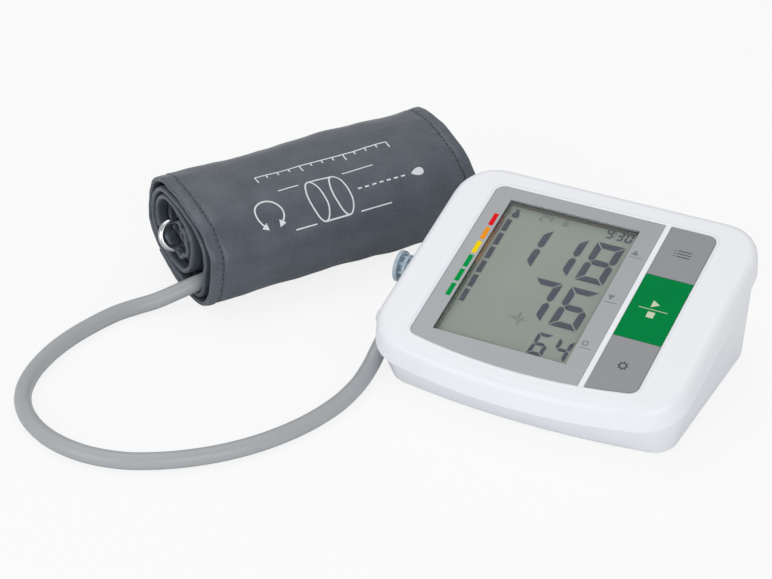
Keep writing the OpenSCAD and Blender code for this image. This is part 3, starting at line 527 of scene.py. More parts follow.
def make_display():
    """What the display shows: a reading in three rows, a time, a date and small signs."""
    rows = number("118", right=15.1, base=0.1, height=25.0, **BIG_DIGITS)
    rows += number("76", right=14.9, base=-28.9, height=24.6, **BIG_DIGITS)
    rows += number("64", right=16.7, base=-47.3, **PULSE_DIGITS)
    clock_base, colon = 28.4, 0.7
    rows += number("30", right=16.9, base=clock_base, **CLOCK_DIGITS)
    rows += number("9", right=7.5, base=clock_base, **CLOCK_DIGITS)
    rows += [rectangle(7.95, 30.0, colon, colon), rectangle(8.05, 32.2, colon, colon)]
    dashes = [rectangle(DASH_X, DASH_TOP - DASH_H - k * MARK_PITCH, DASH_W, DASH_H)
              for k in range(len(MARK_ORDER))]
    person_x = -39.9
    person = ring(person_x, 31.2, 0.5, 1.0) + ring(person_x, 28.5, 1.0, 1.7)
    person += [rectangle(person_x - 1.7, 27.0, 3.4, 1.2)]
    plates("lcd_rows", rows + dashes + person, LCD_N, INK, "monitor")
    date_base, dot = 28.9, 0.6
    date = number("24", right=-22.6, base=date_base, **DATE_DIGITS)
    date += number("6", right=-14.4, base=date_base, **DATE_DIGITS)
    date += [rectangle(x, date_base, dot, dot) for x in (-21.4, -13.2)]
    wave = [(-17.4, -29.9), (-15.2, -29.9), (-14.6, -28.6), (-13.7, -31.4), (-12.6, -25.9),
            (-11.6, -33.6), (-10.8, -28.3), (-10.2, -30.4), (-9.6, -29.9), (-7.6, -29.9)]
    plates("lcd_small_signs", date + stroke(wave, 0.4), LCD_N, INK_FAINT, "monitor")


def make_marks():
    """Six coloured marks on the surround beside the display."""
    for colour, rgb in MARK_COLOURS.items():
        finish = moulded(f"mark_{colour}", srgb(*rgb), roughness=0.6, grain=0.4,
                         specular_ior_level=0.03)
        outlines = [rectangle(MARK_X, MARK_TOP - MARK_H - k * MARK_PITCH, MARK_W, MARK_H)
                    for k, name in enumerate(MARK_ORDER) if name == colour]
        plates(f"marks_{colour}", outlines, SURROUND_N, finish, "monitor")


LABEL_X = 22.9
LINE_T = 0.35           # mm, of the thin lines under and between signs


def make_labels():
    """Small pale signs beside the three rows: up, down and a pulse dot, each over a line."""
    signs = []
    for v, sign in ((17.9, "up"), (-10.9, "down"), (-39.4, "dot")):
        low, high = v + 1.5, v + 4.6
        tip, foot = (high, low) if sign == "up" else (low, high)
        if sign == "dot":
            signs += ring(LABEL_X, v + 3.0, 1.2, 0.6)
        else:
            signs.append([(LABEL_X - 1.7, foot), (LABEL_X + 1.7, foot), (LABEL_X, tip)])
        signs.append(rectangle(LABEL_X - 2, v, 6.0, LINE_T))
    plates("surround_signs", signs, SURROUND_N, PRINT_PALE, "monitor")


# The display's opening in the face: left, right, front and rear
VIEW = (-44.2, 19.7, -50.3, 34.0)
# mm, thickness of the sheets of painted shade and painted reflection in the recess
PAINTED_SHEET_T = 0.35
PAINTED_SHEET_N = (-4.15, -1.75)     # from the display up to the window


def blocks(name, boxes, finish, body):
    """Small boxes in the face frame, each given by its lowest and highest X, V and N."""
    bm = bmesh.new()
    for x0, x1, v0, v1, n0, n1 in boxes:
        made = bmesh.ops.create_cube(bm, size=1)["verts"]
        bmesh.ops.scale(bm, vec=(x1 - x0, v1 - v0, n1 - n0), verts=made)
        bmesh.ops.translate(bm, vec=((x0 + x1) / 2, (v0 + v1) / 2, (n0 + n1) / 2), verts=made)
    bm.transform(FACE)
    bmesh.ops.recalc_face_normals(bm, faces=bm.faces[:])
    return add_piece(name, bm, body, finish)


def make_recess():
    """Painted shade on dark sheets between the display and the window, and painted reflections of
    the marks beside it on the left wall.
    """
    left, right, front, rear = VIEW
    n0, n1 = PAINTED_SHEET_N
    # Dark colour of the painted shade in the recess
    dark = moulded("recess_painted_shade", srgb(70, 70, 66), roughness=0.8, mottle=0.1,
                   specular_ior_level=0.1)
    # Painted shade on sheets along the opening's rear, front and right edges
    blocks("recess_painted_shade_and_reflection", [(left, right, rear - PAINTED_SHEET_T, rear, n0, n1),
                            (left, right, front, front + PAINTED_SHEET_T, n0, n1),
                            (right - PAINTED_SHEET_T, right, front, rear, n0, n1)], dark, "monitor")
    # Painted reflections of the red, amber and green marks on the left wall, and painted shade
    # where it stays plain
    painted_reflection_and_shade = {"red": (120, 60, 48), "amber": (150, 104, 52), "green": (52, 84, 56),
             "plain": (84, 84, 78)}
    top = MARK_TOP + 2
    under_red, under_amber = MARK_TOP - 1.1 * MARK_PITCH, MARK_TOP - 3.2 * MARK_PITCH
    under_green = MARK_TOP - len(MARK_ORDER) * MARK_PITCH
    spans = {"plain": [(front + PAINTED_SHEET_T, under_green), (top, rear - PAINTED_SHEET_T)],
             "green": [(under_green, under_amber)],
             "amber": [(under_amber, under_red)],
             "red": [(under_red, top)]}
    for painted_tone, pieces in spans.items():
        finish = moulded(f"recess_{painted_tone}", srgb(*painted_reflection_and_shade[painted_tone]), roughness=0.8, mottle=0.15,
                         specular_ior_level=0.1)
        blocks(f"recess_painted_shade_and_reflection_{painted_tone}",
               [(left, left + PAINTED_SHEET_T, v0, v1, n0, n1) for v0, v1 in pieces], finish, "monitor")


# The panel's reach from the origin, the radius of its bowed front and of its corners, in mm
PANEL_LEFT, PANEL_RIGHT, PANEL_REAR, PANEL_FRONT = 53.7, 54.8, 41.2, 61.9
PANEL_BOW, PANEL_CORNER = 255, 4.5


def panel_outline(out):
    """The panel's outline in X and V, moved outwards."""
    middle, half = (PANEL_RIGHT - PANEL_LEFT) / 2, (PANEL_RIGHT + PANEL_LEFT) / 2
    bow = Vector((middle, PANEL_BOW - PANEL_FRONT))
    dx = half - PANEL_CORNER
    dy = math.sqrt((PANEL_BOW - PANEL_CORNER) ** 2 - dx * dx)
    a = math.degrees(math.atan2(dy, dx))
    r = PANEL_CORNER + out

    def arc(centre, radius, start, end, steps):
        angles = [math.radians(start + (end - start) * k / steps) for k in range(steps + 1)]
        return [centre + radius * Vector((math.cos(t), math.sin(t))) for t in angles]

    rear = PANEL_REAR - PANEL_CORNER
    front_right, front_left = bow + Vector((dx, -dy)), bow + Vector((-dx, -dy))
    corners = [(front_right, -a, 0), (Vector((middle + dx, rear)), 0, 90),
               (Vector((middle - dx, rear)), 90, 180), (front_left, 180, 180 + a)]
    line = [point for centre, start, end in corners for point in arc(centre, r, start, end, 8)]
    return line + arc(bow, PANEL_BOW + out, 180 + a, 360 - a, 24)[1:-1]


def tube(name, line, radius, rounding, body, slot, closed=False):
    """A round bar of that radius in mm along a line, as a curve piece."""
    curve = bpy.data.curves.new(name, "CURVE")
    curve.dimensions = "3D"
    curve.bevel_depth = radius * MM
    curve.bevel_resolution = rounding
    curve.use_fill_caps = not closed
    spline = curve.splines.new("POLY")
    spline.points.add(len(line) - 1)
    for point, place in zip(spline.points, line):
        point.co = (*place, 1)
    spline.use_cyclic_u = closed
    spline.use_smooth = True
    curve.materials.append(MATERIALS[slot])
    piece = bpy.data.objects.new(name, curve)
    bpy.context.scene.collection.objects.link(piece)
    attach(piece, body)
    return piece


RIM_R = 0.75            # mm, radius of the bead round the panel
RIM_OUT = 0.85          # mm, from the panel's outline to the bead's middle
RIM_SUNK = 0.42         # mm, from the face down to the bead's middle


def make_rim():
    """The soft bead that the shell has round the panel."""
    line = [FACE @ Vector((x, v, -RIM_SUNK)) for x, v in panel_outline(RIM_OUT)]
    tube("panel_rim", line, RIM_R, 4, "monitor", "housing_white", closed=True)


KEY_X = 43.4            # middle of the keys


def make_key_signs():
    """Printed signs on the keys: a list, start over stop, and a small gear wheel."""
    entries = []
    for v in (24.2, 25.9, 27.6):
        entries += [rectangle(KEY_X - 4.0, v, 0.6, 0.5), rectangle(KEY_X - 2.6, v, 6.4, 0.5)]
    plates("memory_sign", entries, KEY_N, PRINT_DARK, "memory")
    start = [[(KEY_X - 1.7, -7.9), (KEY_X + 1.9, -5.8), (KEY_X - 1.7, -3.7)],
             rectangle(KEY_X - 6.7, -9.3, 13.4, LINE_T),
             rectangle(KEY_X - 1.7, -13.9, 3.4, 3.4)]
    plates("start_sign", start, KEY_N, PRINT_CREAM, "start")
    gear_v = -43.4
    gear = ring(KEY_X, gear_v, 1.5, 0.6)
    for k in range(8):
        a = math.radians(45 * k)
        tooth = [(KEY_X + r * math.cos(a), gear_v + r * math.sin(a)) for r in (1.7, 2.5)]
        gear += stroke(tooth, 0.6)
    plates("set_sign", gear, KEY_N, PRINT_DARK, "set")


# ---------- air hose ----------

HOSE_D = 7.8            # mm
# Route of the hose from the cuff to the plug's elbow, in metres
HOSE_ROUTE = [
    (-0.1730, -0.0225, 0.0098), (-0.1750, -0.0257, 0.0098), (-0.1792, -0.0320, 0.0088),
    (-0.1844, -0.0382, 0.0067), (-0.1910, -0.0454, 0.0041), (-0.1974, -0.0530, 0.0031),
    (-0.2022, -0.0616, 0.0031), (-0.2060, -0.0730, 0.0031), (-0.2094, -0.0890, 0.0031),
    (-0.2104, -0.1060, 0.0031), (-0.2080, -0.1240, 0.0031), (-0.2015, -0.1400, 0.0031),
    (-0.1900, -0.1526, 0.0031), (-0.1735, -0.1615, 0.0031), (-0.1550, -0.1646, 0.0031),
    (-0.1376, -0.1620, 0.0031), (-0.1236, -0.1556, 0.0031), (-0.1104, -0.1462, 0.0031),
    (-0.0982, -0.1341, 0.0031), (-0.0878, -0.1194, 0.0031), (-0.0796, -0.1020, 0.0031),
    (-0.0746, -0.0830, 0.0031), (-0.0736, -0.0650, 0.0031), (-0.0750, -0.0500, 0.0038),
    (-0.0764, -0.0380, 0.0066), (-0.0770, -0.0270, 0.0110), (-0.0770, -0.0160, 0.0162),
    (-0.0770, -0.00778, 0.02021), (-0.0770, -0.00416, 0.02190),
]


def smooth_line(points, steps):
    """Points of a smooth curve through points, some steps apart."""
    points = [Vector(p) for p in points]
    padded = [2 * points[0] - points[1], *points, 2 * points[-1] - points[-2]]
    line = []
    for a, b, c, d in zip(padded, padded[1:], padded[2:], padded[3:]):
        for k in range(steps):
            t = k / steps
            line.append(0.5 * (2 * b + (c - a) * t + (2 * a - 5 * b + 4 * c - d) * t ** 2
                               + (3 * b - a - 3 * c + d) * t ** 3))
    return [*line, points[-1]]


def make_hose():
    """The hose from the cuff to the plug, at rest on the floor between them."""
    line = smooth_line(HOSE_ROUTE, 5)
    hose = tube("hose", line, HOSE_D / 2, 6, "cuff", "hose")
    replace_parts(hose, "air_hose")
    length = sum((b - a).length for a, b in zip(line, line[1:]))


# ---------- rolled cuff ----------

CUFF_AT = (-190.7, -23.7)   # mm, of the roll's axis at its near end
CUFF_MID_Z = 24.9
CUFF_TURN = 58              # degrees from X to the roll's axis in plan
CUFF_LEAN = -12.5           # degrees that the oval section leans
CUFF_W = 146.8              # mm, across the cloth
CUFF_T = 2.3
TURN_STEPS = 36
CUFF_TURNS = 129 / TURN_STEPS
FIRST_ANGLE = -120          # degrees, of the cloth's outer end in the section
# Reach of the cloth's middle from the axis, in mm, at each number of turns from the outer end
REACH_RIGHT = [(0, 33.2), (0.33, 33.2), (1.1, 28), (1.33, 24.8), (2.33, 11.6), (3.33, 8.2), (4, 6)]
REACH_LEFT = [(0, 33.2), (0.83, 33.2), (1.02, 31.2), (1.83, 29.8), (2.83, 26), (3.83, 17)]
REACH_TOP = [(0, 23.2), (0.58, 23.2), (1.58, 19), (2.58, 15), (3.58, 9.6)]
REACH_BOTTOM = [(0, 23.2), (0.08, 23.2), (0.9, 20.8), (1.08, 20.2), (1.3, 20.2), (2.08, 16.6),
                (3.08, 10.5), (4, 8)]
# Power of the section's rounded square at each number of turns
SQUARENESS = [(0, 2.77), (0.85, 2.77), (1.05, 2.8), (1.2, 3.4), (1.34, 3.2), (1.6, 2.5), (4, 2.2)]


def lookup(x, table):
    """The table's value at x, on a straight line between its rows."""
    for (x0, y0), (x1, y1) in zip(table, table[1:]):
        if x <= x1:
            return y0 + (y1 - y0) * max(0.0, x - x0) / (x1 - x0)
    return table[-1][1]


def roll(turn):
    """The cloth's middle in the section of the roll, after that many turns."""
    a = math.radians(FIRST_ANGLE + 360 * turn)
    power = 2 / lookup(turn, SQUARENESS)
    right, left = lookup(turn, REACH_RIGHT), lookup(turn, REACH_LEFT)
    top, bottom = lookup(turn, REACH_TOP), lookup(turn, REACH_BOTTOM)
    c = math.copysign(abs(math.cos(a)) ** power, math.cos(a))
    s = math.copysign(abs(math.sin(a)) ** power, math.sin(a))
    return Vector(((right - left) / 2 + (right + left) / 2 * c,
                   (top - bottom) / 2 + (top + bottom) / 2 * s))


def roll_side(turn):
    """The outward direction at that many turns."""
    v = roll(turn + 0.004) - roll(turn - 0.004)
    return Vector((v.y, -v.x)).normalized()


def in_roll(across, up, along):
    """A point given across, up and along the roll in mm, in the frame in metres."""
    lean, turn = math.radians(CUFF_LEAN), math.radians(CUFF_TURN)
    q = across * math.cos(lean) - up * math.sin(lean)
    height = across * math.sin(lean) + up * math.cos(lean) + CUFF_MID_Z
    x = CUFF_AT[0] + q * math.sin(turn) + along * math.cos(turn)
    y = CUFF_AT[1] - q * math.cos(turn) + along * math.sin(turn)
    return Vector((x, y, height)) * MM


# Where the sheets in and on the cloth begin and end, in turns, and their margins in mm
BLADDER_TURNS, BLADDER_EDGE = (12 / TURN_STEPS, 50 / TURN_STEPS), 14
HOOK_TURNS, HOOK_EDGE = (8 / TURN_STEPS, 16 / TURN_STEPS), 24
LOOP_TURNS, LOOP_EDGE = (53 / TURN_STEPS, 62 / TURN_STEPS), 20
BLADDER_T = 0.8
PATCH_NEAR, PATCH_FAR = 0.06, 0.9   # mm from the cloth's inner face to a patch's two faces
RING_WIRE = 3.2             # mm across
RING_TOP = (-6.4, 8.25)     # the ring's upper wire in the roll's section, in the cloth's sleeve


def clamp(x):
    return min(1.0, max(0.0, x))


def spread(low, high, step):
    """Numbers from low to high, about a step apart."""
    count = max(1, round((high - low) / step))
    return [low + (high - low) * k / count for k in range(count + 1)]


def ripple(u, v, long, wide, seed):
    """Smooth noise from -1 to 1 with waves of that length and width."""
    return noise.noise(Vector((u / long, v / wide, seed)))


class RolledCloth:
    """The cuff's cloth: how its flat sheet lies in the roll."""

    STEP = 1.3          # mm of cloth from one station to the next
    HEM = 6.4           # mm from an edge to its stitching
    FOLDS_FROM = 2.86   # turns, where the crumpled inner end begins
    ROWS = 3600         # of the table of lengths and turns

    def __init__(self):
        fine = [CUFF_TURNS * k / self.ROWS for k in range(self.ROWS + 1)]
        places = [roll(t) for t in fine]
        run = [0.0]
        for a, b in zip(places, places[1:]):
            run.append(run[-1] + (b - a).length)
        self.length = run[-1]
        self.table = list(zip(run, fine))
        self.stations = spread(0, self.length, self.STEP)

    def turn_at(self, u):
        """How many turns lie within that length from the outer end."""
        low, high = 0, len(self.table) - 1
        while high - low > 1:
            middle = (low + high) // 2
            if self.table[middle][0] <= u:
                low = middle
            else:
                high = middle
        (u0, t0), (u1, t1) = self.table[low], self.table[high]
        return t0 + (t1 - t0) * (u - u0) / (u1 - u0)

    def length_at(self, turn):
        """The length from the outer end to that many turns."""
        return self.table[round(turn / CUFF_TURNS * self.ROWS)][0]

    def rumple(self, u, turn, v):
        """How far the cloth stands out from its plain roll there, in mm."""
        outer = clamp((1.0 - turn) / 0.14) * clamp((turn - 0.05) / 0.14)
        broad = ripple(u, v, 25, 30, 1.7) * 1.1 + ripple(u, v, 10, 15, 5.1) * 0.6
        small = ripple(u, v, 4.5, 8, 2.3) * 0.22
        near_hem = min(abs(v - self.HEM), abs(CUFF_W - self.HEM - v))
        pucker = ripple(u, v, 3.4, 7, 9.3) * math.exp(-(near_hem / 4.5) ** 2) * 0.75
        loose = max(-0.45, broad + small + pucker + 0.3) * outer
        inner = (small * 0.8 + pucker * 0.35) * (1 - outer)
        deep = clamp((turn - self.FOLDS_FROM) / 0.16)
        swing = u * 0.66 + 1.6 * math.sin(v / 13) + ripple(u, v, 9, 12, 4.4) * 3
        wave = 0.5 + 0.5 * math.sin(swing)
        return loose + inner - deep * (0.4 + 1.9 * wave)

    def slip(self, u, v):
        """How far the cloth lies out of line along the roll there, in mm."""
        return ripple(u, 0.4, 21, 1, 3.3) + ripple(u, v, 6.5, 90, 8.1) * 0.35

    def half_thickness(self, u, v):
        """Half the cloth's thickness: round at the edges, full in the hem, pinched by stitches."""
        edge = min(v, CUFF_W - v)
        radius = CUFF_T / 2 + 0.1
        half = CUFF_T / 2
        if edge < radius:
            half *= math.sqrt(max(0.0, 1 - (1 - edge / radius) ** 2))
        full = 0.14 * math.exp(-((edge - 3.2) / 1.6) ** 2)
        groove = 0.62 * math.exp(-((edge - self.HEM) / 0.6) ** 2)
        end = min(u, self.length - u)
        close = math.sqrt(max(0.0, 1 - max(0.0, 1 - end / radius) ** 2))
        return half * (1 + full - groove) * close

    def place(self, u, v, offset):
        """A point at a distance from the cloth's middle, outwards, in mm."""
        turn = self.turn_at(u)
        at = roll(turn) + roll_side(turn) * (offset + self.rumple(u, turn, v))
        where = in_roll(at.x, at.y, v + self.slip(u, v))
        where.z = max(where.z, FLOOR_Z)
        return where

    def point(self, u, v, side, lift=0.0):
        """A point lifted off the cloth's outer face, side 1, or its inner face, side -1."""
        return self.place(u, v, side * (self.half_thickness(u, v) + lift))


CLOTH = RolledCloth()


def cloth_rows():
    """Places across the cloth's width, close together at its edges and its stitching."""
    hem = [0, 0.06, 0.25, 0.6, 1.15, 2.2, 3.4, 4.6, 5.3, 5.8, 6.15, 6.4, 6.65, 7.0, 7.5, 8.4,
           10, 12]
    middle = spread(hem[-1], CUFF_W - hem[-1], 2.8)[1:-1]
    return hem + middle + [CUFF_W - v for v in reversed(hem)]


def slab(name, stations, rows, place, slot):
    """A closed sheet: place gives its point at a station and a row, on side 1 or -1."""
    loop = [(v, 1) for v in rows] + [(v, -1) for v in reversed(rows)] + [(rows[0], 1)]
    bm = bmesh.new()
    flat = bm.loops.layers.uv.new("flat")
    grid = bmesh.ops.create_grid(bm, x_segments=len(stations) - 1, y_segments=len(loop) - 1,
                                 size=0.5)["verts"]
    order = sorted(grid, key=lambda vert: (round(vert.co.y, 5), vert.co.x))
    place_of = {vert: (stations[k % len(stations)], loop[k // len(stations)])
                for k, vert in enumerate(order)}
    for face in bm.faces:
        for corner in face.loops:
            u, (v, side) = place_of[corner.vert]
            corner[flat].uv = (u * MM, (v if side > 0 else -v) * MM)
    for vert, (u, (v, side)) in place_of.items():
        vert.co = place(u, v, side)
    bmesh.ops.remove_doubles(bm, verts=bm.verts[:], dist=0.01 * MM)
    bmesh.ops.dissolve_degenerate(bm, edges=bm.edges[:], dist=0.005 * MM)
    bmesh.ops.holes_fill(bm, edges=[e for e in bm.edges if e.is_boundary], sides=0)
    bmesh.ops.recalc_face_normals(bm, faces=bm.faces[:])
    return add_piece(name, bm, "cuff", MATERIALS[slot], slot, 50)


def make_cloth():
    """The cloth from end to end, in its roll."""
    cloth = slab("cuff_cloth_roll", CLOTH.stations, cloth_rows(), CLOTH.point, "cloth")
    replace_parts(cloth, "cuff_cloth")
    return cloth


def make_in_cloth(name, turns, margin, low, high, slot, node):
    """A sheet that follows the cloth, between two distances from the cloth's middle."""
    stations = spread(CLOTH.length_at(turns[0]), CLOTH.length_at(turns[1]), CLOTH.STEP)

    def place(u, v, side):
        return CLOTH.place(u, v, high if side > 0 else low)

    rows = spread(margin, CUFF_W - margin, 3.0)
    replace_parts(slab(name, stations, rows, place, slot), node)


SLEEVE_T, SLEEVE_EDGE = 1.3, 3  # mm, its cloth and its distance from the roll's two ends


def make_sleeve():
    """The cloth's narrow sleeve round the ring's upper wire."""
    radius = RING_WIRE / 2 + SLEEVE_T
    length = CUFF_W - 2 * SLEEVE_EDGE
    bm = bmesh.new()
    flat = bm.loops.layers.uv.new("flat")
    bmesh.ops.create_cone(bm, cap_ends=True, segments=20, radius1=radius, radius2=radius,
                          depth=length)
    sides = [e for e in bm.edges if abs(e.verts[0].co.z - e.verts[1].co.z) > 1]
    bmesh.ops.subdivide_edges(bm, edges=sides, cuts=60, use_grid_fill=True)
    for vert in bm.verts:
        across, up, along = vert.co
        swell = 1 + 0.09 * noise.noise(Vector((across * 0.8, up * 0.8, along / 7)))
        vert.co = (across * swell, up * swell, along + SLEEVE_EDGE + length / 2)
    for face in bm.faces:
        for corner in face.loops:
            across, up, along = corner.vert.co
            corner[flat].uv = (math.atan2(up, across) * radius * MM, along * MM)
    for vert in bm.verts:
        across, up, along = vert.co
        vert.co = in_roll(RING_TOP[0] + across, RING_TOP[1] + up, along)
    bmesh.ops.recalc_face_normals(bm, faces=bm.faces[:])
    return add_piece("cuff_ring_sleeve", bm, "cuff", MATERIALS["cloth"], "cloth", 60)


# Folds of the cloth's gathered end between the ring and the inner turn, in the roll's section in mm
CORE_FOLDS = [
    [(1.6, 7.4), (4.4, 6.2), (5.2, 4.9), (1.6, 4.2), (0.6, 3.2), (4.2, 2.2), (5.6, 1.0),
     (5.4, -0.6)],
    [(-2.4, 7.0), (-0.6, 5.2), (-1.4, 3.6), (-3.2, 2.8), (-2.6, 1.4), (-0.4, 0.8)],
]
FOLD_T = 1.5
FOLD_NEAR, FOLD_FAR = 2.0, 60   # mm, where the folds begin and end along the roll


def make_core_folds():
    """Folded stretches of cloth that fill the roll's heart beside the ring."""
    pieces = []
    for fold, path in enumerate(CORE_FOLDS):
        line = smooth_line([(x, y, 0) for x, y in path], 7)
        run = [0.0]
        for a, b in zip(line, line[1:]):
            run.append(run[-1] + (b - a).length)

        def place(u, v, side):
            k = min(range(len(run)), key=lambda i: abs(run[i] - u))
            ahead = line[min(k + 1, len(line) - 1)] - line[max(k - 1, 0)]
            out = Vector((ahead.y, -ahead.x, 0)).normalized()
            edge = min(v - FOLD_NEAR, FOLD_FAR - v)
            round_edge = math.sqrt(max(0.0, 1 - max(0.0, 1 - edge / (FOLD_T / 2)) ** 2))
            close = clamp(min(u, run[-1] - u) / 0.7) ** 0.5
            at = line[k] + out * side * FOLD_T / 2 * round_edge * close
            at += out * ripple(u, v, 3, 6, 6.0 + fold) * 0.35
            slip = ripple(u, 1, 4, 1, fold) * 1.6
            return in_roll(at.x, at.y, v + slip)

        rows = [FOLD_NEAR + v for v in (0, 0.06, 0.25, 0.6, 1.2, 2.2)]
        rows += spread(5.5, 57, 2.6) + [FOLD_FAR - v for v in (0.6, 0.1, 0)]
        pieces.append(slab(f"cuff_core_fold_{fold + 1}", run, rows, place, "cloth"))
    return pieces


STITCH = (0.95, 0.27, 0.24)     # mm, half a stitch: along the hem, across it and out
STITCH_PITCH = 2.7


def make_stitches():
    """Two rows of stitches, one along each hem of the outer turn."""
    bm = bmesh.new()
    for v in (CLOTH.HEM, CUFF_W - CLOTH.HEM):
        for u in spread(CLOTH.length_at(0.04), CLOTH.length_at(1.0), STITCH_PITCH):
            along = CLOTH.point(u + 0.7, v, 1) - CLOTH.point(u - 0.7, v, 1)
            sideways = CLOTH.point(u, v + 0.3, 1) - CLOTH.point(u, v - 0.3, 1)
            x = along.normalized()
            z = x.cross(sideways).normalized()
            axes = Matrix((x, z.cross(x), z)).transposed().to_4x4()
            at = Matrix.Translation(CLOTH.point(u, v, 1, 0.02)) @ axes
            made = bmesh.ops.create_uvsphere(bm, u_segments=6, v_segments=4, radius=1)["verts"]
            bmesh.ops.scale(bm, vec=[half * MM for half in STITCH], verts=made)
            bmesh.ops.transform(bm, matrix=at, verts=made)
    return add_piece("cuff_stitches", bm, "cuff", THREAD, "cloth", 80)


PRINT_LIFT = 0.05       # mm over the cloth


def ribbon(bm, points, width, closed=False):
    """A printed line on the cloth's outer face, through points given as (u, v) in mm."""
    if closed:
        points = points + [points[0]]
    dense = []
    for (u0, v0), (u1, v1) in zip(points, points[1:]):
        count = max(1, math.ceil(math.hypot(u1 - u0, v1 - v0) / 1.2))
        dense += [(u0 + (u1 - u0) * k / count, v0 + (v1 - v0) * k / count) for k in range(count)]
    dense.append(points[-1])
    sides = []
    for k, (u, v) in enumerate(dense):
        (u0, v0), (u1, v1) = dense[max(k - 1, 0)], dense[min(k + 1, len(dense) - 1)]
        if closed and k in (0, len(dense) - 1):
            (u0, v0), (u1, v1) = dense[-2], dense[1]
        length = math.hypot(u1 - u0, v1 - v0)
        du, dv = (v0 - v1) / length * width / 2, (u1 - u0) / length * width / 2
        sides.append([bm.verts.new(CLOTH.point(u + s * du, v + s * dv, 1, PRINT_LIFT))
                      for s in (-1, 1)])
    for (a, b), (c, d) in zip(sides, sides[1:]):
        bm.faces.new((a, b, d, c))


def filled(bm, outline):
    """A small printed patch, given by its outline in (u, v)."""
    bm.faces.new([bm.verts.new(CLOTH.point(u, v, 1, PRINT_LIFT)) for u, v in outline])


def make_print():
    """White signs: a scale of ticks, a limb's oval band, a turning arrow and a dotted line."""
    base = CLOTH.length_at(0.40)
    middle = 14             # mm of cloth from the base to the row of signs
    bm = bmesh.new()

    def at(u, v):
        return (base + u, v)

    def round_of(u, v, reach_u, reach_v, degrees):
        """Points round a middle, at each angle from the direction of u."""
        return [at(u + reach_u * math.cos(math.radians(a)), v + reach_v * math.sin(math.radians(a)))
                for a in degrees]

    # scale of ticks near the top
    scale_u, first, ticks, pitch = 37, 40, 13, 6
    ribbon(bm, [at(scale_u, first), at(scale_u, first + (ticks - 1) * pitch)], 0.7)
    for k in range(ticks):
        v, tick = first + pitch * k, 4.2 if k % 4 == 0 else 2.2
        ribbon(bm, [at(scale_u, v), at(scale_u - tick, v)], 0.7)
    # band round an oval limb, whose sides go on as lines
    oval = 10.5
    for v in (62, 75):
        ribbon(bm, round_of(middle, v, oval, 4.2, range(0, 360, 15)), 0.75, closed=True)
    for u in (middle - oval, middle + oval):
        ribbon(bm, [at(u, 62), at(u, 75)], 0.75)
        ribbon(bm, [at(u, 46), at(u, 57)], 0.6)
        ribbon(bm, [at(u, 81), at(u, 98)], 0.6)
    # an arrow that turns round the limb
    sweep, steps = 280, 22
    turn = round_of(middle, 36, 7.0, 7.0, [sweep * (k / steps - 0.5) for k in range(steps + 1)])
    ribbon(bm, turn, 0.8)
    for (u, v), (u0, v0) in ((turn[0], turn[2]), (turn[-1], turn[-3])):
        length = math.hypot(u - u0, v - v0)
        du, dv = (u - u0) / length, (v - v0) / length
        tip, back, half = 2.6, 0.6, 1.9
        filled(bm, [(u + tip * du, v + tip * dv),
                    (u - back * du - half * dv, v - back * dv + half * du),
                    (u - back * du + half * dv, v - back * dv - half * du)])
    # dotted line with a drop
    for v in range(84, 112, 4):
        ribbon(bm, [at(middle, v), at(middle, v + 2.2)], 0.8)
    filled(bm, [at(middle + 2.6 * math.sin(math.radians(a)) * math.sin(math.radians(a / 2)),
                   117 - 3.4 * math.cos(math.radians(a))) for a in range(0, 360, 20)])
    bmesh.ops.recalc_face_normals(bm, faces=bm.faces[:])
    return add_piece("cuff_print", bm, "cuff", PRINT_WHITE, "cloth", 60)


# ---------- building ----------

dress_nodes()
plug = eased("air_plug", radius=0.25)
make_hose()
for node, radius in (("upper_shell", 0.35), ("lower_shell", 0.3), ("display_bezel", 0.12),
                     ("memory_key", 0.3), ("start_key", 0.3), ("set_key", 0.3),
                     ("battery_cover", 0.2), ("rubber_feet", 0.2), ("air_socket", 0.0),
                     ("jack_cover", 0.2), ("hose_port", 0.0), ("cuff_ring", 0.0)):
    eased(node, radius)
make_display()
make_marks()
make_labels()
make_key_signs()
make_recess()
make_rim()
cloth = make_cloth()
make_in_cloth("bladder_sheet", BLADDER_TURNS, BLADDER_EDGE, -BLADDER_T / 2, BLADDER_T / 2,
              "bladder", "cuff_bladder")
patch = (-CUFF_T / 2 - PATCH_FAR, -CUFF_T / 2 - PATCH_NEAR)
make_in_cloth("hook_tape", HOOK_TURNS, HOOK_EDGE, *patch, "hook", "hook_patch")
make_in_cloth("loop_tape", LOOP_TURNS, LOOP_EDGE, *patch, "loop", "loop_patch")
cloth_details = [make_sleeve(), *make_core_folds(), make_stitches(), make_print()]


# ---------- floor and light ----------

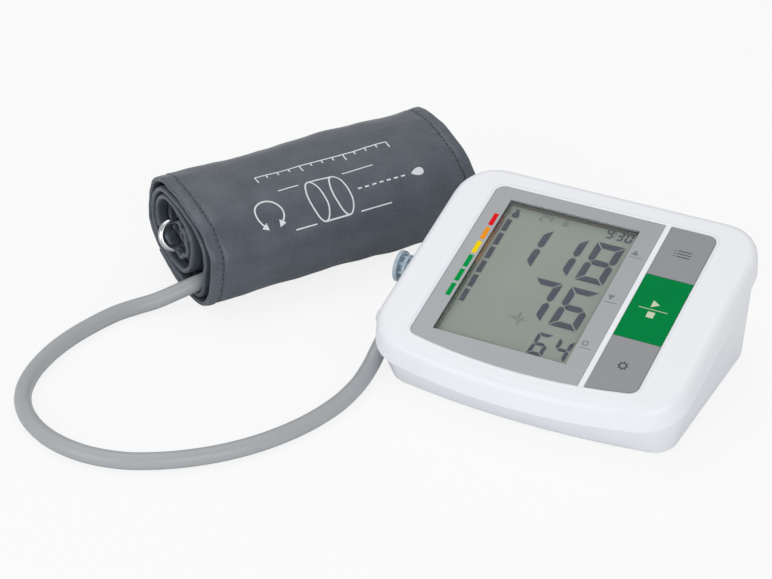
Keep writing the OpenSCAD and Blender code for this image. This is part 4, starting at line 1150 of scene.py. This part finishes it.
def make_floor():
    """A white floor, which the camera sees a little brighter than the light makes it."""
    bm = bmesh.new()
    bmesh.ops.create_circle(bm, cap_ends=True, segments=64, radius=6)
    bmesh.ops.translate(bm, vec=(0, 0, FLOOR_Z), verts=bm.verts[:])
    floor = bpy.data.objects.new("floor", mesh_of(bm, "floor"))
    f = Finish("floor_white")
    paper = f.principled((0.86, 0.87, 0.88, 1), 0.9)
    glow = f.node("ShaderNodeEmission", {}, {"Color": (1, 1, 1, 1), "Strength": 1.0})
    seen = f.node("ShaderNodeLightPath", output="Is Camera Ray")
    f.done(f.node("ShaderNodeMixShader", {}, {0: seen * 0.84, 1: paper, 2: glow}))
    floor.data.materials.append(f.material)
    bpy.context.scene.collection.objects.link(floor)


SOFTBOX = 0.9           # m, the side of each lamp


def softbox(name, at, towards, watts):
    """A square lamp that faces a point."""
    data = bpy.data.lights.new(name, "AREA")
    data.size = SOFTBOX
    data.energy = watts
    lamp = bpy.data.objects.new(name, data)
    lamp.location = at
    lamp.rotation_mode = "QUATERNION"
    lamp.rotation_quaternion = (Vector(towards) - Vector(at)).to_track_quat("-Z", "Y")
    bpy.context.scene.collection.objects.link(lamp)


def make_light():
    """A white room that lights less than it shows to the camera, and three lamps."""
    world = bpy.data.worlds.new("studio")
    bpy.context.scene.world = world
    world.use_nodes = True
    nodes, links = world.node_tree.nodes, world.node_tree.links
    nodes.clear()
    path = nodes.new("ShaderNodeLightPath")
    seen = nodes.new("ShaderNodeMath")
    seen.operation = "MAXIMUM"
    links.new(path.outputs["Is Camera Ray"], seen.inputs[0])
    links.new(path.outputs["Is Transmission Ray"], seen.inputs[1])
    strength = nodes.new("ShaderNodeMapRange")
    strength.inputs["To Min"].default_value = 0.7
    links.new(seen.outputs[0], strength.inputs["Value"])
    sky = nodes.new("ShaderNodeBackground")
    links.new(strength.outputs[0], sky.inputs["Strength"])
    out = nodes.new("ShaderNodeOutputWorld")
    links.new(sky.outputs[0], out.inputs["Surface"])
    softbox("key_light", (-0.45, 0.15, 1.1), (-0.05, 0, 0), 2.8)
    softbox("right_fill", (0.9, -0.9, 0.5), (0, 0, 0.02), 4.4)
    softbox("left_fill", (-0.5, -1.2, 0.4), (-0.05, 0, 0.02), 3.6)


make_floor()
make_light()
bpy.context.scene.view_settings.view_transform = "Standard"
